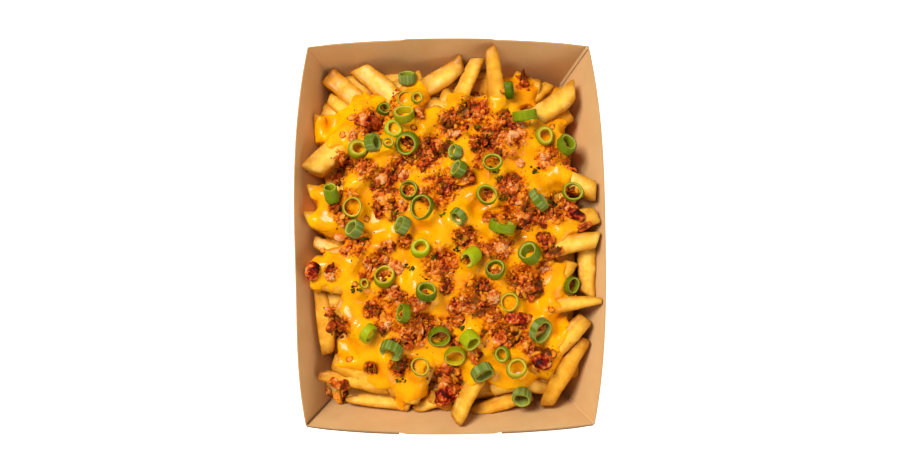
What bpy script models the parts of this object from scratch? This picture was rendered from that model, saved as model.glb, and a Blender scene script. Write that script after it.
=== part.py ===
"""A folded kraft board tray of loaded fries: thick-cut fries under a blanket of cheese sauce,
with crumbled bacon fused to the sauce and separate slices of spring onion lying on top.

X runs across the tray, Y along it and Z up. The origin is the middle of the tray's underside.
"""

import math
import random

import bmesh
import bpy
from mathutils import Matrix, Vector
from mathutils.bvhtree import BVHTree
from mathutils.geometry import delaunay_2d_cdt

MM = 0.001

# The tray: a flat foot, and walls that lean out and bow, folded from one board.
TRAY_HEIGHT = 45 * MM
BOARD = 0.6 * MM
FOOT_HALF = (53.5 * MM, 73.5 * MM)
RIM_HALF = (67.5 * MM, 90 * MM)
# How far each wall bows out, by axis and side; the west one is flatter south of its middle.
BOW = ({1: 6.5 * MM, -1: 6.5 * MM}, {1: 3.4 * MM, -1: 3.6 * MM})
BOW_POWER = (2.8, 2.2)
WEST_SAG = 1.5 * MM
WEST_SAG_PLACE = -0.4
WEST_SAG_SPREAD = 0.42
WALL_STEPS = (12, 10)
FLAP_INNER_END = 24 * MM
FLAP_SHORT = 0.8 * MM
FLAP_FOOT = 4 * MM
FLAP_DROP = 1 * MM
FLAP_ROOT = 0.15 * MM
FLAP_THICKNESS = 1.05 * MM
FLAP_STEPS = 5

# Clearances, and the cavity that the food has to itself.
GAP = 0.3 * MM
CAVITY_INSET = 0.45 * MM
CAVITY_TOP = 90 * MM

# The layout below is drawn on the rim's plane, as seen from an eye above the tray.
EYE = Vector((-4.4 * MM, -44.4 * MM, 578.6 * MM))

# The bed of fries: how high it is in the middle, and what it falls by towards each side.
BED_CENTRE = 46 * MM
BED_FALL = {"west": 13 * MM, "east": 7 * MM, "north": 19 * MM, "south": 18 * MM}
BED_REACH = (66 * MM, 84 * MM)
BED_LOWEST = 9 * MM
CORE_DROP = 5 * MM
CORE_CELL = 9 * MM
CORE_MARGIN = 6 * MM
CORE_BASE = -10 * MM
BEDDING = 1 * MM
FREE_SHARE = 0.85

# Fries. Each row: outer end x, y, z; inner end x, y, z; width; length left bare of sauce.
FRY_DEPTH = 0.9
FRY_CHAMFER = 0.22
FRY_TAPER = 0.12
BARE_FRIES = [
    (-57.5, 75.5, 25, -33, 53, 36, 10.5, 16),
    (-51, 76.5, 17, -36, 66, 24, 8, 19),
    (-42.5, 79.0, 27.5, -22, 60.5, 37, 11, 16),
    (-57, 64.5, 25, -46, 56, 33, 8, 9),
    (-66, 29.5, 39, -44, 53, 41, 11.5, 16),
    (7, 82.5, 32, -14, 69.5, 38, 9.5, 15),
    (14.5, 84.5, 30, 4, 62, 38, 7.5, 17),
    (20.3, 90, 43, 24, 58, 43, 9, 25),
    (48, 71, 23, 36, 61, 32, 7, 8),
    (60.5, 69, 35, 38, 54, 41, 10.5, 16),
    (70.3, 19.5, 42.5, 48, 32, 41, 9, 12),
    (71, 8, 42, 46, 5, 41, 9.5, 7),
    (71, -3.5, 43, 44, -9, 43, 9.5, 15),
    (65.3, -30, 35, 65.3, -5, 35.5, 8.5, 25),
    (72.3, -32.5, 44, 44, -36.5, 42, 7.5, 22),
    (64.5, -40.5, 37.5, 42, -62, 38, 9, 8),
    (45.2, -81.5, 28.5, 64.5, -50.5, 35.5, 10, 40),
    (46, -74, 25, 32, -70, 31, 7.5, 9),
    (10.5, -85, 27, 38, -76, 29, 8, 21),
    (2.5, -88.5, 41, 15, -66, 40, 8.5, 18),
    (-17, -83, 26, 4, -76, 31, 7, 12),
    (1, -83, 24, -10, -76, 30, 6, 8),
    (-49, -78.5, 25, -18, -80, 27.5, 8, 24),
    (-62, -67.3, 32, -30, -72, 34, 9.5, 25),
    (-57.5, -57, 29, -62, -25, 33, 9, 33),
    (-64, -3.8, 33, -48, -12, 38, 8, 9),
]
COVERED_FRIES = [
    (-61.5, 57, 31, -61.5, 45, 34, 7, 0),
    (-67, 20, 40, -44, 14, 40, 9, 0),
    (-68, 6.5, 40.5, -42, 4, 41, 10, 0),
    (-66.5, -14, 40, -44, -18, 39, 10, 0),
    (-66, -22, 40, -42, -26, 40, 9.5, 0),
    (-53, -33, 37, -38, -46, 40, 10, 0),
    (-55, -60, 33, -32, -72, 35, 9, 0),
    (-18.5, -80, 31, -11, -62, 37, 9, 0),
    (19, -74, 31, 38, -69, 34, 8, 0),
    (28, -60, 38, 39, -52, 40, 9, 0),
    (58, -14, 38, 46, -30, 40, 8, 0),
    (31, 75, 27, 44, 68.5, 28, 8, 0),
    (-13, 75.5, 31, -28, 60, 38, 8, 0),
    (58, 56.5, 29, 44, 48, 36, 8, 0),
    (57, 45, 34, 40, 38, 42, 9, 0),
    (39, 67, 28, 28, 59, 36, 8, 0),
    (-50, 20, 41, -30, 38, 41, 11, 0),
    (-14, 49, 41, -3, 60, 40, 9, 0),
    (-60, -12, 37, -30, -6, 41, 9, 0),
    (-50, -36, 39, -36, -60, 38, 10, 0),
    (3, 2, 42.5, 20, 5, 42.5, 9, 0),
    (5, 10, 43, 12, 22, 43, 8, 0),
    (-8, -9, 42.5, 0, 5, 42.5, 8, 0),
    (5, 45, 42.5, 20, 28, 42.5, 10, 0),
    (-12, 20, 43, -2, 35, 43, 8, 0),
    (4, -26, 42, 8, -12, 42, 8, 0),
    (8, -42, 41, 19, -57, 40, 10, 0),
    (33, 19, 42, 56, 30, 40, 9, 0),
    (45, -28, 41, 52, -16, 41, 8, 0),
    (-32, -58, 39, -24, -76, 34, 9, 0),
    (38, -62, 37, 52, -66, 35, 9, 0),
    (-20, -30, 42, -12, -10, 42, 9, 0),
    (20, -20, 42, 34, -40, 41, 9, 0),
    (26, 40, 42, 44, 48, 40, 9, 0),
]
LOOSE_FRIES = 12
LOOSE_FRY_LENGTH = (34 * MM, 58 * MM)
LOOSE_FRY_WIDTH = (8 * MM, 10.5 * MM)
LOOSE_FRY_SINK = 5 * MM
LOOSE_FRY_REACH = (42 * MM, 62 * MM)
EDGE_FRIES = 16
EDGE_FRY_SINK = 9 * MM
EDGE_FRY_REACH = (0.80, 0.88)
FRY_CLEARANCE = 1.3 * GAP

# Sauce: one broad pool and the lobes that run out of it. Each lobe: x, y, x, y, radius.
POOL_HALF = (50, 63)
POOL_CORNER = 20
POOL_CENTRE = (-1, -1)
LOBES = [
    (-60.5, 55, -60.5, 46, 5.5),
    (-56, 52, -48, 56, 8),
    (-46, 55, -40, 62, 9),
    (-61.5, 20, -60, 15, 6.5),
    (-62.5, 6, -50, 5, 6.5),
    (-62, -13, -61.5, -23, 6.5),
    (-57, -18, -50, -18, 7),
    (-51.5, -58, -30, -67, 7.5),
    (-22, -70, -22, -82.5, 4.2),
    (-16, -66, -16, -76, 5),
    (-2, -64, 10, -67, 5.5),
    (24, -68, 34, -69, 6),
    (45, -58, 48, -64, 7),
    (50, -46, 50, -20, 7),
    (57, 5, 50, 4, 7),
    (54, 52, 46, 46, 5),
    (53, 42, 53, 28, 7),
    (34, 70, 38, 70, 6),
    (31, 76, 38, 72, 6.5),
    (-15, 70, -22, 64, 6),
    (4, 64, 26, 60, 6),
]
LOBE_BLEND = 3
BARE_MARGIN = 0.4
SAUCE_EDGE = 1.4 * MM
SAUCE_DEEP = 3.4 * MM
SAUCE_SLOPE = 9
SAUCE_BED = 4.5 * MM
SAUCE_CELL = 6
SAUCE_CELL_INSET = 0.6
OUTLINE_CELL = 2
OUTLINE_STEP = 4
OUTLINE_MARGIN = 5
SLOPE_STEP = 0.2
SAUCE_SKIRT = 5 * MM
SAUCE_ROOT = 12 * MM
RIDGE_SOFTNESS = 1.1 * MM
RIDGE_SPREAD = 0.62

# Bacon: where the crumbs lie thickest, as x, y, radius, and the few pieces that stand alone.
BACON_DRIFTS = [
    (-38, 54, 8), (-27, 58, 5), (-22, 34, 6), (-10, 39, 9), (2, 53, 8), (13, 60, 8), (22, 49, 9),
    (32, 48, 7), (20, 41, 8), (48, 38, 6), (-52, 34, 6), (-40, 30, 5), (-30, 26, 6), (-28, 15, 8),
    (-6, 20, 9), (2, 26, 6), (30, 22, 8), (33, 9, 9), (52, 12, 8), (-44, -4, 7), (-50, 8, 5),
    (-33, -13, 6), (-5, -14, 9), (8, -2, 6), (24, -8, 7), (36, -22, 9), (-30, -34, 8), (-52, -44, 5),
    (-18, -46, 9), (14, -30, 10), (22, -48, 8), (32, -48, 7), (-2, -70, 8), (-22, -62, 5), (44, -60, 6),
]
CRUMB_TRIES = 4
CRUMB_SIZE = (3.0 * MM, 5.0 * MM)
CRUMB_LIFT = 0.1
CRUMB_SPACING = 5.5
CRUMB_CLEARANCE = 0.6
CRUMB_REACH = 0.8
# Each piece of bacon: x, y, length, width, thickness, heading in degrees.
BACON_PIECES = [
    (-65, -17.5, 9, 6, 5, 80),
    (60.5, 8.5, 9, 5, 4.5, -25),
    (43.5, -61.5, 8.5, 6, 5, -30),
    (-40, 54.5, 8.5, 6, 4, -20),
    (-2, -76.5, 9, 8, 5, 30),
    (31, -41, 10, 5, 3, -15),
]
PIECE_SINK = 1.2 * MM
PIECE_CLEARANCE = 1.5 * GAP
PIECE_BLUNTNESS = 0.86
PIECE_TAPER = 0.35
PIECE_BUCKLE = 0.12
PIECE_WAVES = 9

# Spring onion. Each slice: x, y, diameter, length, wall, lean from upright and its heading in
# degrees. A slice that leans 90 degrees lies on its side.
SLICES = [
    (-20, 75, 9, 5, 1.6, 62, 95),
    (-20.3, 64.5, 9, 2.4, 1.0, 12, 40),
    (-21.3, 56.6, 10.6, 4, 1.6, 50, 100),
    (-26.5, 50.2, 8.8, 3.6, 2.1, 14, 70),
    (-20, 43, 11.2, 4.6, 1.7, 28, 235),
    (-43.5, 40.6, 9.4, 4.2, 2.4, 16, 60),
    (-36.2, 43, 8.5, 5, 1.5, 58, 5),
    (-56.3, 19.2, 7, 7.5, 1.2, 50, 98),
    (-46.3, 12.6, 9.6, 3, 1.1, 10, 30),
    (-45.2, 2.2, 8.6, 5, 1.8, 50, 152),
    (-19.4, 20.9, 8.8, 3.2, 1.0, 18, 60),
    (-13, 12.6, 11.6, 4, 1.1, 22, 180),
    (-22.4, 4.0, 9, 4.4, 1.4, 58, 158),
    (29.2, 69, 9, 3.6, 1.3, 78, 0),
    (36.5, 56.7, 12, 4.6, 1.6, 72, 97),
    (46, 46.8, 9, 3, 2.2, 10, 20),
    (56.4, 42.4, 9.8, 4.6, 1.9, 46, 42),
    (3, 39.2, 7.6, 4, 1.5, 58, 165),
    (4.6, 30.5, 8.2, 4.4, 1.5, 58, 160),
    (20.8, 34, 9, 2.6, 1.0, 16, 120),
    (18, 18.3, 10, 3.2, 1.1, 14, 80),
    (42.8, 15.8, 12, 4, 1.3, 72, 40),
    (59, 19.6, 9.5, 2.8, 1.0, 12, 50),
    (25, 3.2, 12, 4.6, 1.6, 70, 78),
    (4.3, 8, 8, 4, 1.4, 58, 228),
    (-13.8, -7, 8.8, 4.4, 2.2, 24, 85),
    (10.3, -11.2, 8.5, 7, 2.3, 56, 218),
    (38.2, -9.8, 11, 5, 2.6, 50, 135),
    (21.7, -17.4, 9.6, 3.6, 1.3, 32, 95),
    (-31, -20.5, 10.3, 4, 1.4, 32, 85),
    (-10.9, -27.8, 9.6, 4.4, 1.8, 42, 88),
    (-21.9, -37.8, 9.4, 3.8, 1.3, 66, 170),
    (58, -25, 8, 3.2, 1.0, 36, 350),
    (28.4, -32.8, 9, 2.6, 1.0, 12, 200),
    (42.8, -46.3, 11.4, 4.4, 1.3, 46, 322),
    (9.4, -50.6, 9, 6, 1.8, 58, 308),
    (-4.9, -49, 10.4, 3.4, 1.1, 44, 275),
    (2.4, -58.2, 10.4, 3.4, 1.2, 44, 262),
    (-14.2, -63, 9, 2.6, 0.9, 10, 60),
    (15.2, -65.8, 10.8, 4.6, 1.5, 62, 300),
    (24.8, -57.4, 7.4, 3.4, 1.3, 30, 200),
    (31.4, -64, 9.8, 3, 2.0, 20, 90),
    (33.7, -77.4, 9, 6, 1.5, 38, 256),
    (-27.6, -55.3, 11.4, 5, 1.4, 66, 248),
    (-38.6, -47.2, 9.6, 4, 1.3, 80, 325),
    (-31.2, 60, 6.4, 3, 1.2, 26, 30),
    (-40.6, -23.7, 4.8, 2.4, 1.0, 20, 0),
    (-15.2, 64.7, 5.8, 2.4, 1.1, 18, 30),
    (-28.8, 42.9, 5.2, 2.2, 1.0, 16, 60),
]
SLICE_SIDES = 8
SLICE_CLEARANCE = 1.3 * GAP
SLICE_SINK = (1.0 * MM, 1.8 * MM)
SETTLE_SIDES = 12
SETTLE_PASSES = 3
LIFT_STEP = 0.4 * MM

FRY_SEED = 11
BACON_SEED = 23

KRAFT = ("kraft_board", (0.55, 0.31, 0.14, 1), 0.75)
POTATO = ("fried_potato", (0.86, 0.50, 0.10, 1), 0.45)
CHEESE = ("cheese_sauce", (1.0, 0.43, 0.01, 1), 0.25)
BACON = ("crisp_bacon", (0.33, 0.06, 0.03, 1), 0.45)
ONION = ("spring_onion", (0.17, 0.38, 0.04, 1), 0.4)


def clear_scene():
    for old in list(bpy.data.objects):
        bpy.data.objects.remove(old, do_unlink=True)


def collection(name, hidden=False):
    made = bpy.data.collections.new(name)
    bpy.context.scene.collection.children.link(made)
    made.hide_render = hidden
    return made


def material(look):
    name, colour, roughness = look
    made = bpy.data.materials.get(name) or bpy.data.materials.new(name)
    made.use_nodes = True
    shader = made.node_tree.nodes["Principled BSDF"]
    shader.inputs["Base Color"].default_value = colour
    shader.inputs["Roughness"].default_value = roughness
    shader.inputs["Metallic"].default_value = 0
    made.diffuse_color = colour
    return made


def add_object(name, shape, home, look=None):
    """Turns a bmesh into an object in a collection, with its normals facing out."""
    bmesh.ops.recalc_face_normals(shape, faces=shape.faces[:])
    mesh = bpy.data.meshes.new(name)
    shape.to_mesh(mesh)
    shape.free()
    made = bpy.data.objects.new(name, mesh)
    home.objects.link(made)
    if look:
        mesh.materials.append(material(look))
    return made


def evaluated_mesh(obj):
    graph = bpy.context.evaluated_depsgraph_get()
    return bpy.data.meshes.new_from_object(obj.evaluated_get(graph), depsgraph=graph)


def apply_boolean(obj, operation, other, solver="EXACT"):
    """Joins, cuts or trims obj with an object or a whole collection, and keeps the result."""
    boolean = obj.modifiers.new("boolean", "BOOLEAN")
    boolean.operation = operation
    boolean.solver = solver
    if isinstance(other, bpy.types.Collection):
        boolean.operand_type = "COLLECTION"
        boolean.collection = other
    else:
        boolean.object = other
    bpy.context.view_layer.update()
    mesh = evaluated_mesh(obj)
    obj.modifiers.clear()
    old = obj.data
    obj.data = mesh
    bpy.data.meshes.remove(old)


def remove_contents(*groups):
    for group in groups:
        for obj in list(group.objects):
            bpy.data.objects.remove(obj, do_unlink=True)


def keep_largest_island(obj):
    """Drops the loose scraps that a cut leaves."""
    shape = bmesh.new()
    shape.from_mesh(obj.data)
    bmesh.ops.triangulate(shape, faces=shape.faces[:])
    unseen = set(shape.faces)
    islands = []
    while unseen:
        stack = [unseen.pop()]
        island = set(stack)
        while stack:
            for edge in stack.pop().edges:
                for face in edge.link_faces:
                    if face in unseen:
                        unseen.discard(face)
                        island.add(face)
                        stack.append(face)
        islands.append(island)
    largest = max(islands, key=lambda faces: sum(face.calc_area() for face in faces))
    scraps = [face for face in shape.faces if face not in largest]
    bmesh.ops.delete(shape, geom=scraps, context="FACES")
    loose = [vert for vert in shape.verts if not vert.link_faces]
    bmesh.ops.delete(shape, geom=loose, context="VERTS")
    shape.to_mesh(obj.data)
    shape.free()


def on_sight_line(x, y, z):
    """The point at height z, in metres, that the eye sees at x, y mm on the rim's plane."""
    on_rim = Vector((x * MM, y * MM, TRAY_HEIGHT))
    reach = (EYE.z - z) / (EYE.z - TRAY_HEIGHT)
    return EYE + (on_rim - EYE) * reach


# The tray


def wall_half(axis, sign, height, along):
    """How far a wall's inner face is from the middle plane, at a height and a share along it."""
    rise = height / TRAY_HEIGHT
    straight = FOOT_HALF[axis] + (RIM_HALF[axis] - FOOT_HALF[axis]) * rise
    bow = BOW[axis][sign] * (1 - abs(along) ** BOW_POWER[axis])
    if axis == 0 and sign < 0:
        away = (along - WEST_SAG_PLACE) / WEST_SAG_SPREAD
        bow -= WEST_SAG * (1 - along**2) * math.exp(-(away**2))
    return straight + bow * min(rise, 1)


def corner_half(axis, height):
    rise = height / TRAY_HEIGHT
    return FOOT_HALF[axis] + (RIM_HALF[axis] - FOOT_HALF[axis]) * rise


def outline(height, inset=0.0):
    """The tray's inner outline at a height, as points round it."""
    points = []
    for side in range(4):
        axis = side % 2
        steps = WALL_STEPS[axis]
        sign = 1 if side < 2 else -1
        for step in range(steps):
            along = (1 if axis == 0 else -1) * sign * (-1 + 2 * step / steps)
            out = sign * (wall_half(axis, sign, height, along) - inset)
            travel = along * (corner_half(1 - axis, height) - inset)
            points.append((out, travel) if axis == 0 else (travel, out))
    return points


def loft(shape, rings, cap_first=True, cap_last=True):
    """Joins rings of (x, y, z) points with side faces, and caps the ends that are asked for."""
    rows = [[shape.verts.new(point) for point in ring] for ring in rings]
    count = len(rows[0])
    for lower, upper in zip(rows, rows[1:]):
        for i in range(count):
            j = (i + 1) % count
            shape.faces.new((lower[i], lower[j], upper[j], upper[i]))
    if cap_first:
        shape.faces.new(reversed(rows[0]))
    if cap_last:
        shape.faces.new(rows[-1])


def solidify(obj, thickness, offset):
    """Gives an open surface the thickness of board, on the side that offset names."""
    shell = obj.modifiers.new("board", "SOLIDIFY")
    shell.thickness = thickness
    shell.offset = offset
    shell.use_even_offset = True


def flap_patch(end, side):
    """A corner flap's inner surface, a little inside the short wall that it is glued to."""
    shape = bmesh.new()
    rows = []
    for height in (FLAP_FOOT, TRAY_HEIGHT - FLAP_DROP):
        width = corner_half(0, height)
        row = []
        for step in range(FLAP_STEPS + 1):
            x = FLAP_INNER_END + (width - FLAP_SHORT - FLAP_INNER_END) * step / FLAP_STEPS
            y = wall_half(1, end, height, x / width) + FLAP_ROOT
            row.append(shape.verts.new((side * x, end * y, height)))
        rows.append(row)
    for i in range(FLAP_STEPS):
        shape.faces.new((rows[0][i], rows[0][i + 1], rows[1][i + 1], rows[1][i]))
    return shape


def build_tray(home, helpers):
    """Foot and walls as one open surface made into board, with the four flaps joined on."""
    shape = bmesh.new()
    foot = [(x, y, BOARD) for x, y in outline(0)]
    rim = [(x, y, TRAY_HEIGHT) for x, y in outline(TRAY_HEIGHT)]
    loft(shape, [foot, rim], cap_last=False)
    tray = add_object("tray", shape, home, KRAFT)
    solidify(tray, BOARD, 1)
    for end in (-1, 1):
        for side in (-1, 1):
            flap = add_object("flap", flap_patch(end, side), helpers)
            outward = flap.data.polygons[0].normal.y * end > 0
            solidify(flap, FLAP_THICKNESS, 1 if outward else -1)
    apply_boolean(tray, "UNION", helpers, "MANIFOLD")
    keep_largest_island(tray)
    remove_contents(helpers)


def build_cavity(home):
    """The room inside the tray, a little clear of the board, open to well above the food."""
    shape = bmesh.new()
    floor = BOARD + CAVITY_INSET
    rim = outline(TRAY_HEIGHT, CAVITY_INSET)
    levels = [(floor, outline(floor, CAVITY_INSET)), (TRAY_HEIGHT, rim), (CAVITY_TOP, rim)]
    loft(shape, [[(x, y, z) for x, y in points] for z, points in levels])
    return add_object("cavity", shape, home)


# The bed of fries


def bed_height(x, y):
    """The height of the top of the fries at a place."""
    across = BED_FALL["west" if x < 0 else "east"] * abs(x / BED_REACH[0]) ** 3
    along = BED_FALL["south" if y < 0 else "north"] * abs(y / BED_REACH[1]) ** 3
    return max(BED_CENTRE - across - along, BED_LOWEST)


def fry_from_row(row):
    """The two ends of a fry's axis, its width and its bare length, from a row of the layout.

    The inner end of a fry that runs under the sauce is bedded in the core.
    """
    x0, y0, z0, x1, y1, z1, width, bare = row
    outer = on_sight_line(x0, y0, z0 * MM)
    inner = on_sight_line(x1, y1, z1 * MM)
    if bare * MM < FREE_SHARE * (inner - outer).length:
        inner.z = min(inner.z, bed_height(inner.x, inner.y) - CORE_DROP + BEDDING)
    return outer, inner, width * MM, bare * MM


def lying_fry(draw, x, y, heading, sink):
    """A fry that lies on the bed, its ends sunk below the bed's top and kept off the walls."""
    length = draw.uniform(*LOOSE_FRY_LENGTH)
    width = draw.uniform(*LOOSE_FRY_WIDTH)
    half = Vector((math.cos(heading), math.sin(heading), 0)) * length / 2
    ends = []
    for end in (Vector((x, y, 0)) - half, Vector((x, y, 0)) + half):
        over = max(abs(end.x) / BED_REACH[0], abs(end.y) / BED_REACH[1], 1)
        end /= over
        end.z = bed_height(end.x, end.y) - sink
        ends.append(end)
    return ends[0], ends[1], width, 0.0


def loose_fries():
    """Fries of the upper layer, under the sauce, at seeded random places."""
    draw = random.Random(FRY_SEED)
    made = []
    for _ in range(LOOSE_FRIES):
        x = draw.uniform(-1, 1) * LOOSE_FRY_REACH[0]
        y = draw.uniform(-1, 1) * LOOSE_FRY_REACH[1]
        made.append(lying_fry(draw, x, y, draw.uniform(0, math.pi), LOOSE_FRY_SINK))
    return made


def edge_fries():
    """A lower layer of fries that lie along the walls, seen in the gaps of the upper one."""
    draw = random.Random(FRY_SEED + 1)
    made = []
    for i in range(EDGE_FRIES):
        turn = math.tau * (i + draw.uniform(-0.3, 0.3)) / EDGE_FRIES
        along_y = abs(math.cos(turn)) > abs(math.sin(turn))
        square = max(abs(math.cos(turn)), abs(math.sin(turn)))
        x = EDGE_FRY_REACH[0] * BED_REACH[0] * math.cos(turn) / square
        y = EDGE_FRY_REACH[1] * BED_REACH[1] * math.sin(turn) / square
        heading = draw.uniform(-0.5, 0.5) + (math.pi / 2 if along_y else 0)
        made.append(lying_fry(draw, x, y, heading, EDGE_FRY_SINK))
    return made


def fry_shape(outer, inner, width, grow=0.0):
    """A chamfered stick with a slimmer outer end, grown by a clearance where it is a cutter."""
    length = (inner - outer).length + 2 * grow
    across = width + 2 * grow
    deep = width * FRY_DEPTH + 2 * grow
    shape = bmesh.new()
    bmesh.ops.create_cube(shape, size=1)
    bmesh.ops.scale(shape, vec=(length, across, deep), verts=shape.verts[:])
    bmesh.ops.bevel(
        shape,
        geom=shape.edges[:],
        offset=FRY_CHAMFER * across,
        segments=1,
        affect="EDGES",
        clamp_overlap=True,
    )
    for vert in shape.verts:
        slim = 1 - FRY_TAPER * (0.5 - vert.co.x / length)
        vert.co.y *= slim
        vert.co.z *= slim
    along = (inner - outer).normalized()
    side = Vector((0, 0, 1)).cross(along).normalized()
    turn = Matrix((along, side, along.cross(side))).transposed().to_4x4()
    bmesh.ops.transform(
        shape, matrix=Matrix.Translation((outer + inner) / 2) @ turn, verts=shape.verts[:]
    )
    return shape


def grid_mound(height_at, cell, half, base):
    """A closed block with a relief on top: a grid raised to height_at, and a flat base."""
    shape = bmesh.new()
    counts = [max(2, round(2 * reach / cell)) for reach in half]
    bmesh.ops.create_grid(shape, x_segments=counts[0], y_segments=counts[1], size=1)
    for vert in shape.verts:
        vert.co.x *= half[0]
        vert.co.y *= half[1]
        vert.co.z = height_at(vert.co.x, vert.co.y)
    close_downwards(shape, lambda vert: base)
    return shape


def close_downwards(shape, base_at):
    """Extrudes an open relief straight down to a base, at a height given for each place."""
    made = bmesh.ops.extrude_face_region(shape, geom=shape.faces[:])["geom"]
    for vert in [item for item in made if isinstance(item, bmesh.types.BMVert)]:
        vert.co.z = base_at(vert)


def core_shape(grow=0.0):
    """The solid middle of the heap, wider and deeper than the cavity that trims it."""

    def height_at(x, y):
        return bed_height(x, y) - CORE_DROP + grow

    half = [RIM_HALF[i] + max(BOW[i].values()) + CORE_MARGIN for i in (0, 1)]
    return grid_mound(height_at, CORE_CELL, half, CORE_BASE)


def build_fries(home, helpers, cavity, fries):
    """The heap: core and fries joined by the solver that leaves no slivers open, then trimmed."""
    core = add_object("fries", core_shape(), home, POTATO)
    for outer, inner, width, _ in fries:
        add_object("fry", fry_shape(outer, inner, width), helpers)
    apply_boolean(core, "UNION", helpers, "MANIFOLD")
    apply_boolean(core, "INTERSECT", cavity, "MANIFOLD")
    keep_largest_island(core)
    remove_contents(helpers)
    return core


# The cheese sauce


def capsule_distance(x, y, row):
    """Signed distance in mm from a lobe's edge, negative inside."""
    x0, y0, x1, y1, radius = row
    dx, dy = x1 - x0, y1 - y0
    share = ((x - x0) * dx + (y - y0) * dy) / max(dx * dx + dy * dy, 1e-9)
    share = min(1, max(0, share))
    return math.hypot(x - x0 - share * dx, y - y0 - share * dy) - radius


def pool_distance(x, y):
    """Signed distance in mm from the edge of the broad pool, a rounded rectangle."""
    dx = abs(x - POOL_CENTRE[0]) - POOL_HALF[0] + POOL_CORNER
    dy = abs(y - POOL_CENTRE[1]) - POOL_HALF[1] + POOL_CORNER
    outside = math.hypot(max(dx, 0), max(dy, 0))
    return outside + min(max(dx, dy), 0) - POOL_CORNER


def smooth_min(a, b, blend):
    """The lesser of two distances, rounded where they meet."""
    mix = max(0, min(1, 0.5 + 0.5 * (b - a) / blend))
    return b + (a - b) * mix - blend * mix * (1 - mix)


def sauce_depth_inside(x, y, bare_parts):
    """How far inside the sauce's edge a place is, in mm, seen from above."""
    distance = pool_distance(x, y)
    for lobe in LOBES:
        distance = smooth_min(distance, capsule_distance(x, y, lobe), LOBE_BLEND)
    for part in bare_parts:
        distance = max(distance, -capsule_distance(x, y, part))
    return -distance


def bare_part(fry):
    """The stretch of a fry that the sauce leaves bare, as a capsule in mm."""
    outer, inner, width, bare = fry
    length = (inner - outer).length
    end = outer + (inner - outer) * min(1, bare / length)
    radius = width / MM / 2 + BARE_MARGIN
    return (outer.x / MM, outer.y / MM, end.x / MM, end.y / MM, radius)


def ridge_height(x, y, fry):
    """The top of a fry over a place, or None beside it."""
    outer, inner, width, _ = fry
    dx, dy = inner.x - outer.x, inner.y - outer.y
    share = ((x - outer.x) * dx + (y - outer.y) * dy) / (dx * dx + dy * dy)
    share = min(1, max(0, share))
    beside = math.hypot(x - outer.x - share * dx, y - outer.y - share * dy)
    reach = RIDGE_SPREAD * width
    if beside >= reach:
        return None
    axis = outer.z + (inner.z - outer.z) * share
    return axis + width * FRY_DEPTH / 2 * math.sqrt(1 - (beside / reach) ** 2)


def draped_height(x, y, fries):
    """A soft maximum of the bed and of every fry over a place."""
    heights = [bed_height(x, y) - SAUCE_BED]
    heights += [top for top in (ridge_height(x, y, fry) for fry in fries) if top]
    highest = max(heights)
    total = sum(math.exp((height - highest) / RIDGE_SOFTNESS) for height in heights)
    return highest + RIDGE_SOFTNESS * math.log(total)


def steepest(x, y, depth, bare_parts):
    """The direction in which the depth inside the sauce grows."""
    slope = Vector(
        (
            sauce_depth_inside(x + SLOPE_STEP, y, bare_parts) - depth,
            sauce_depth_inside(x, y + SLOPE_STEP, bare_parts) - depth,
        )
    )
    return slope.normalized()


def sauce_outline(bare_parts):
    """The sauce's edge seen from above, as evenly spaced points in mm."""
    half = [reach / MM + OUTLINE_MARGIN for reach in RIM_HALF]
    shape = bmesh.new()
    counts = [round(2 * reach / OUTLINE_CELL) for reach in half]
    bmesh.ops.create_grid(shape, x_segments=counts[0], y_segments=counts[1], size=1)
    bmesh.ops.scale(shape, vec=(half[0], half[1], 1), verts=shape.verts[:])
    depths = {vert: sauce_depth_inside(vert.co.x, vert.co.y, bare_parts) for vert in shape.verts}
    outside = [vert for vert, depth in depths.items() if depth < -0.5 * OUTLINE_CELL]
    bmesh.ops.delete(shape, geom=outside, context="VERTS")
    remove_pinches(shape)
    rim = [vert for vert in shape.verts if vert.is_boundary]
    for vert in rim:
        depth = depths[vert]
        way = steepest(vert.co.x, vert.co.y, depth, bare_parts)
        move = max(-OUTLINE_CELL, min(OUTLINE_CELL, -depth))
        vert.co.xy += way * move
    loop = longest_loop(rim)
    for _ in range(2):
        loop = [(loop[i - 1] + loop[i] * 2 + loop[(i + 1) % len(loop)]) / 4 for i in range(len(loop))]
    shape.free()
    picked = [loop[0]]
    for point in loop[1:]:
        if (point - picked[-1]).length > OUTLINE_STEP:
            picked.append(point)
    if (picked[-1] - picked[0]).length < OUTLINE_STEP / 2:
        picked.pop()
    return picked


def remove_pinches(shape):
    """Deletes the places where a sheet hangs together by a corner only."""
    while True:
        doomed = [vert for vert in shape.verts if not vert.link_faces]
        doomed += [
            vert
            for vert in shape.verts
            if vert.link_faces and sum(edge.is_boundary for edge in vert.link_edges) > 2
        ]
        if not doomed:
            return
        bmesh.ops.delete(shape, geom=doomed, context="VERTS")


def longest_loop(rim):
    """The longest of the closed chains that the boundary vertices form."""
    unseen = set(rim)
    loops = []
    for first in rim:
        if first not in unseen:
            continue
        unseen.discard(first)
        loop = [first]
        while True:
            ways = [edge.other_vert(loop[-1]) for edge in loop[-1].link_edges if edge.is_boundary]
            following = [vert for vert in ways if vert in unseen]
            if not following:
                break
            unseen.discard(following[0])
            loop.append(following[0])
        loops.append([vert.co.xy.copy() for vert in loop])
    return max(loops, key=len)


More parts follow.
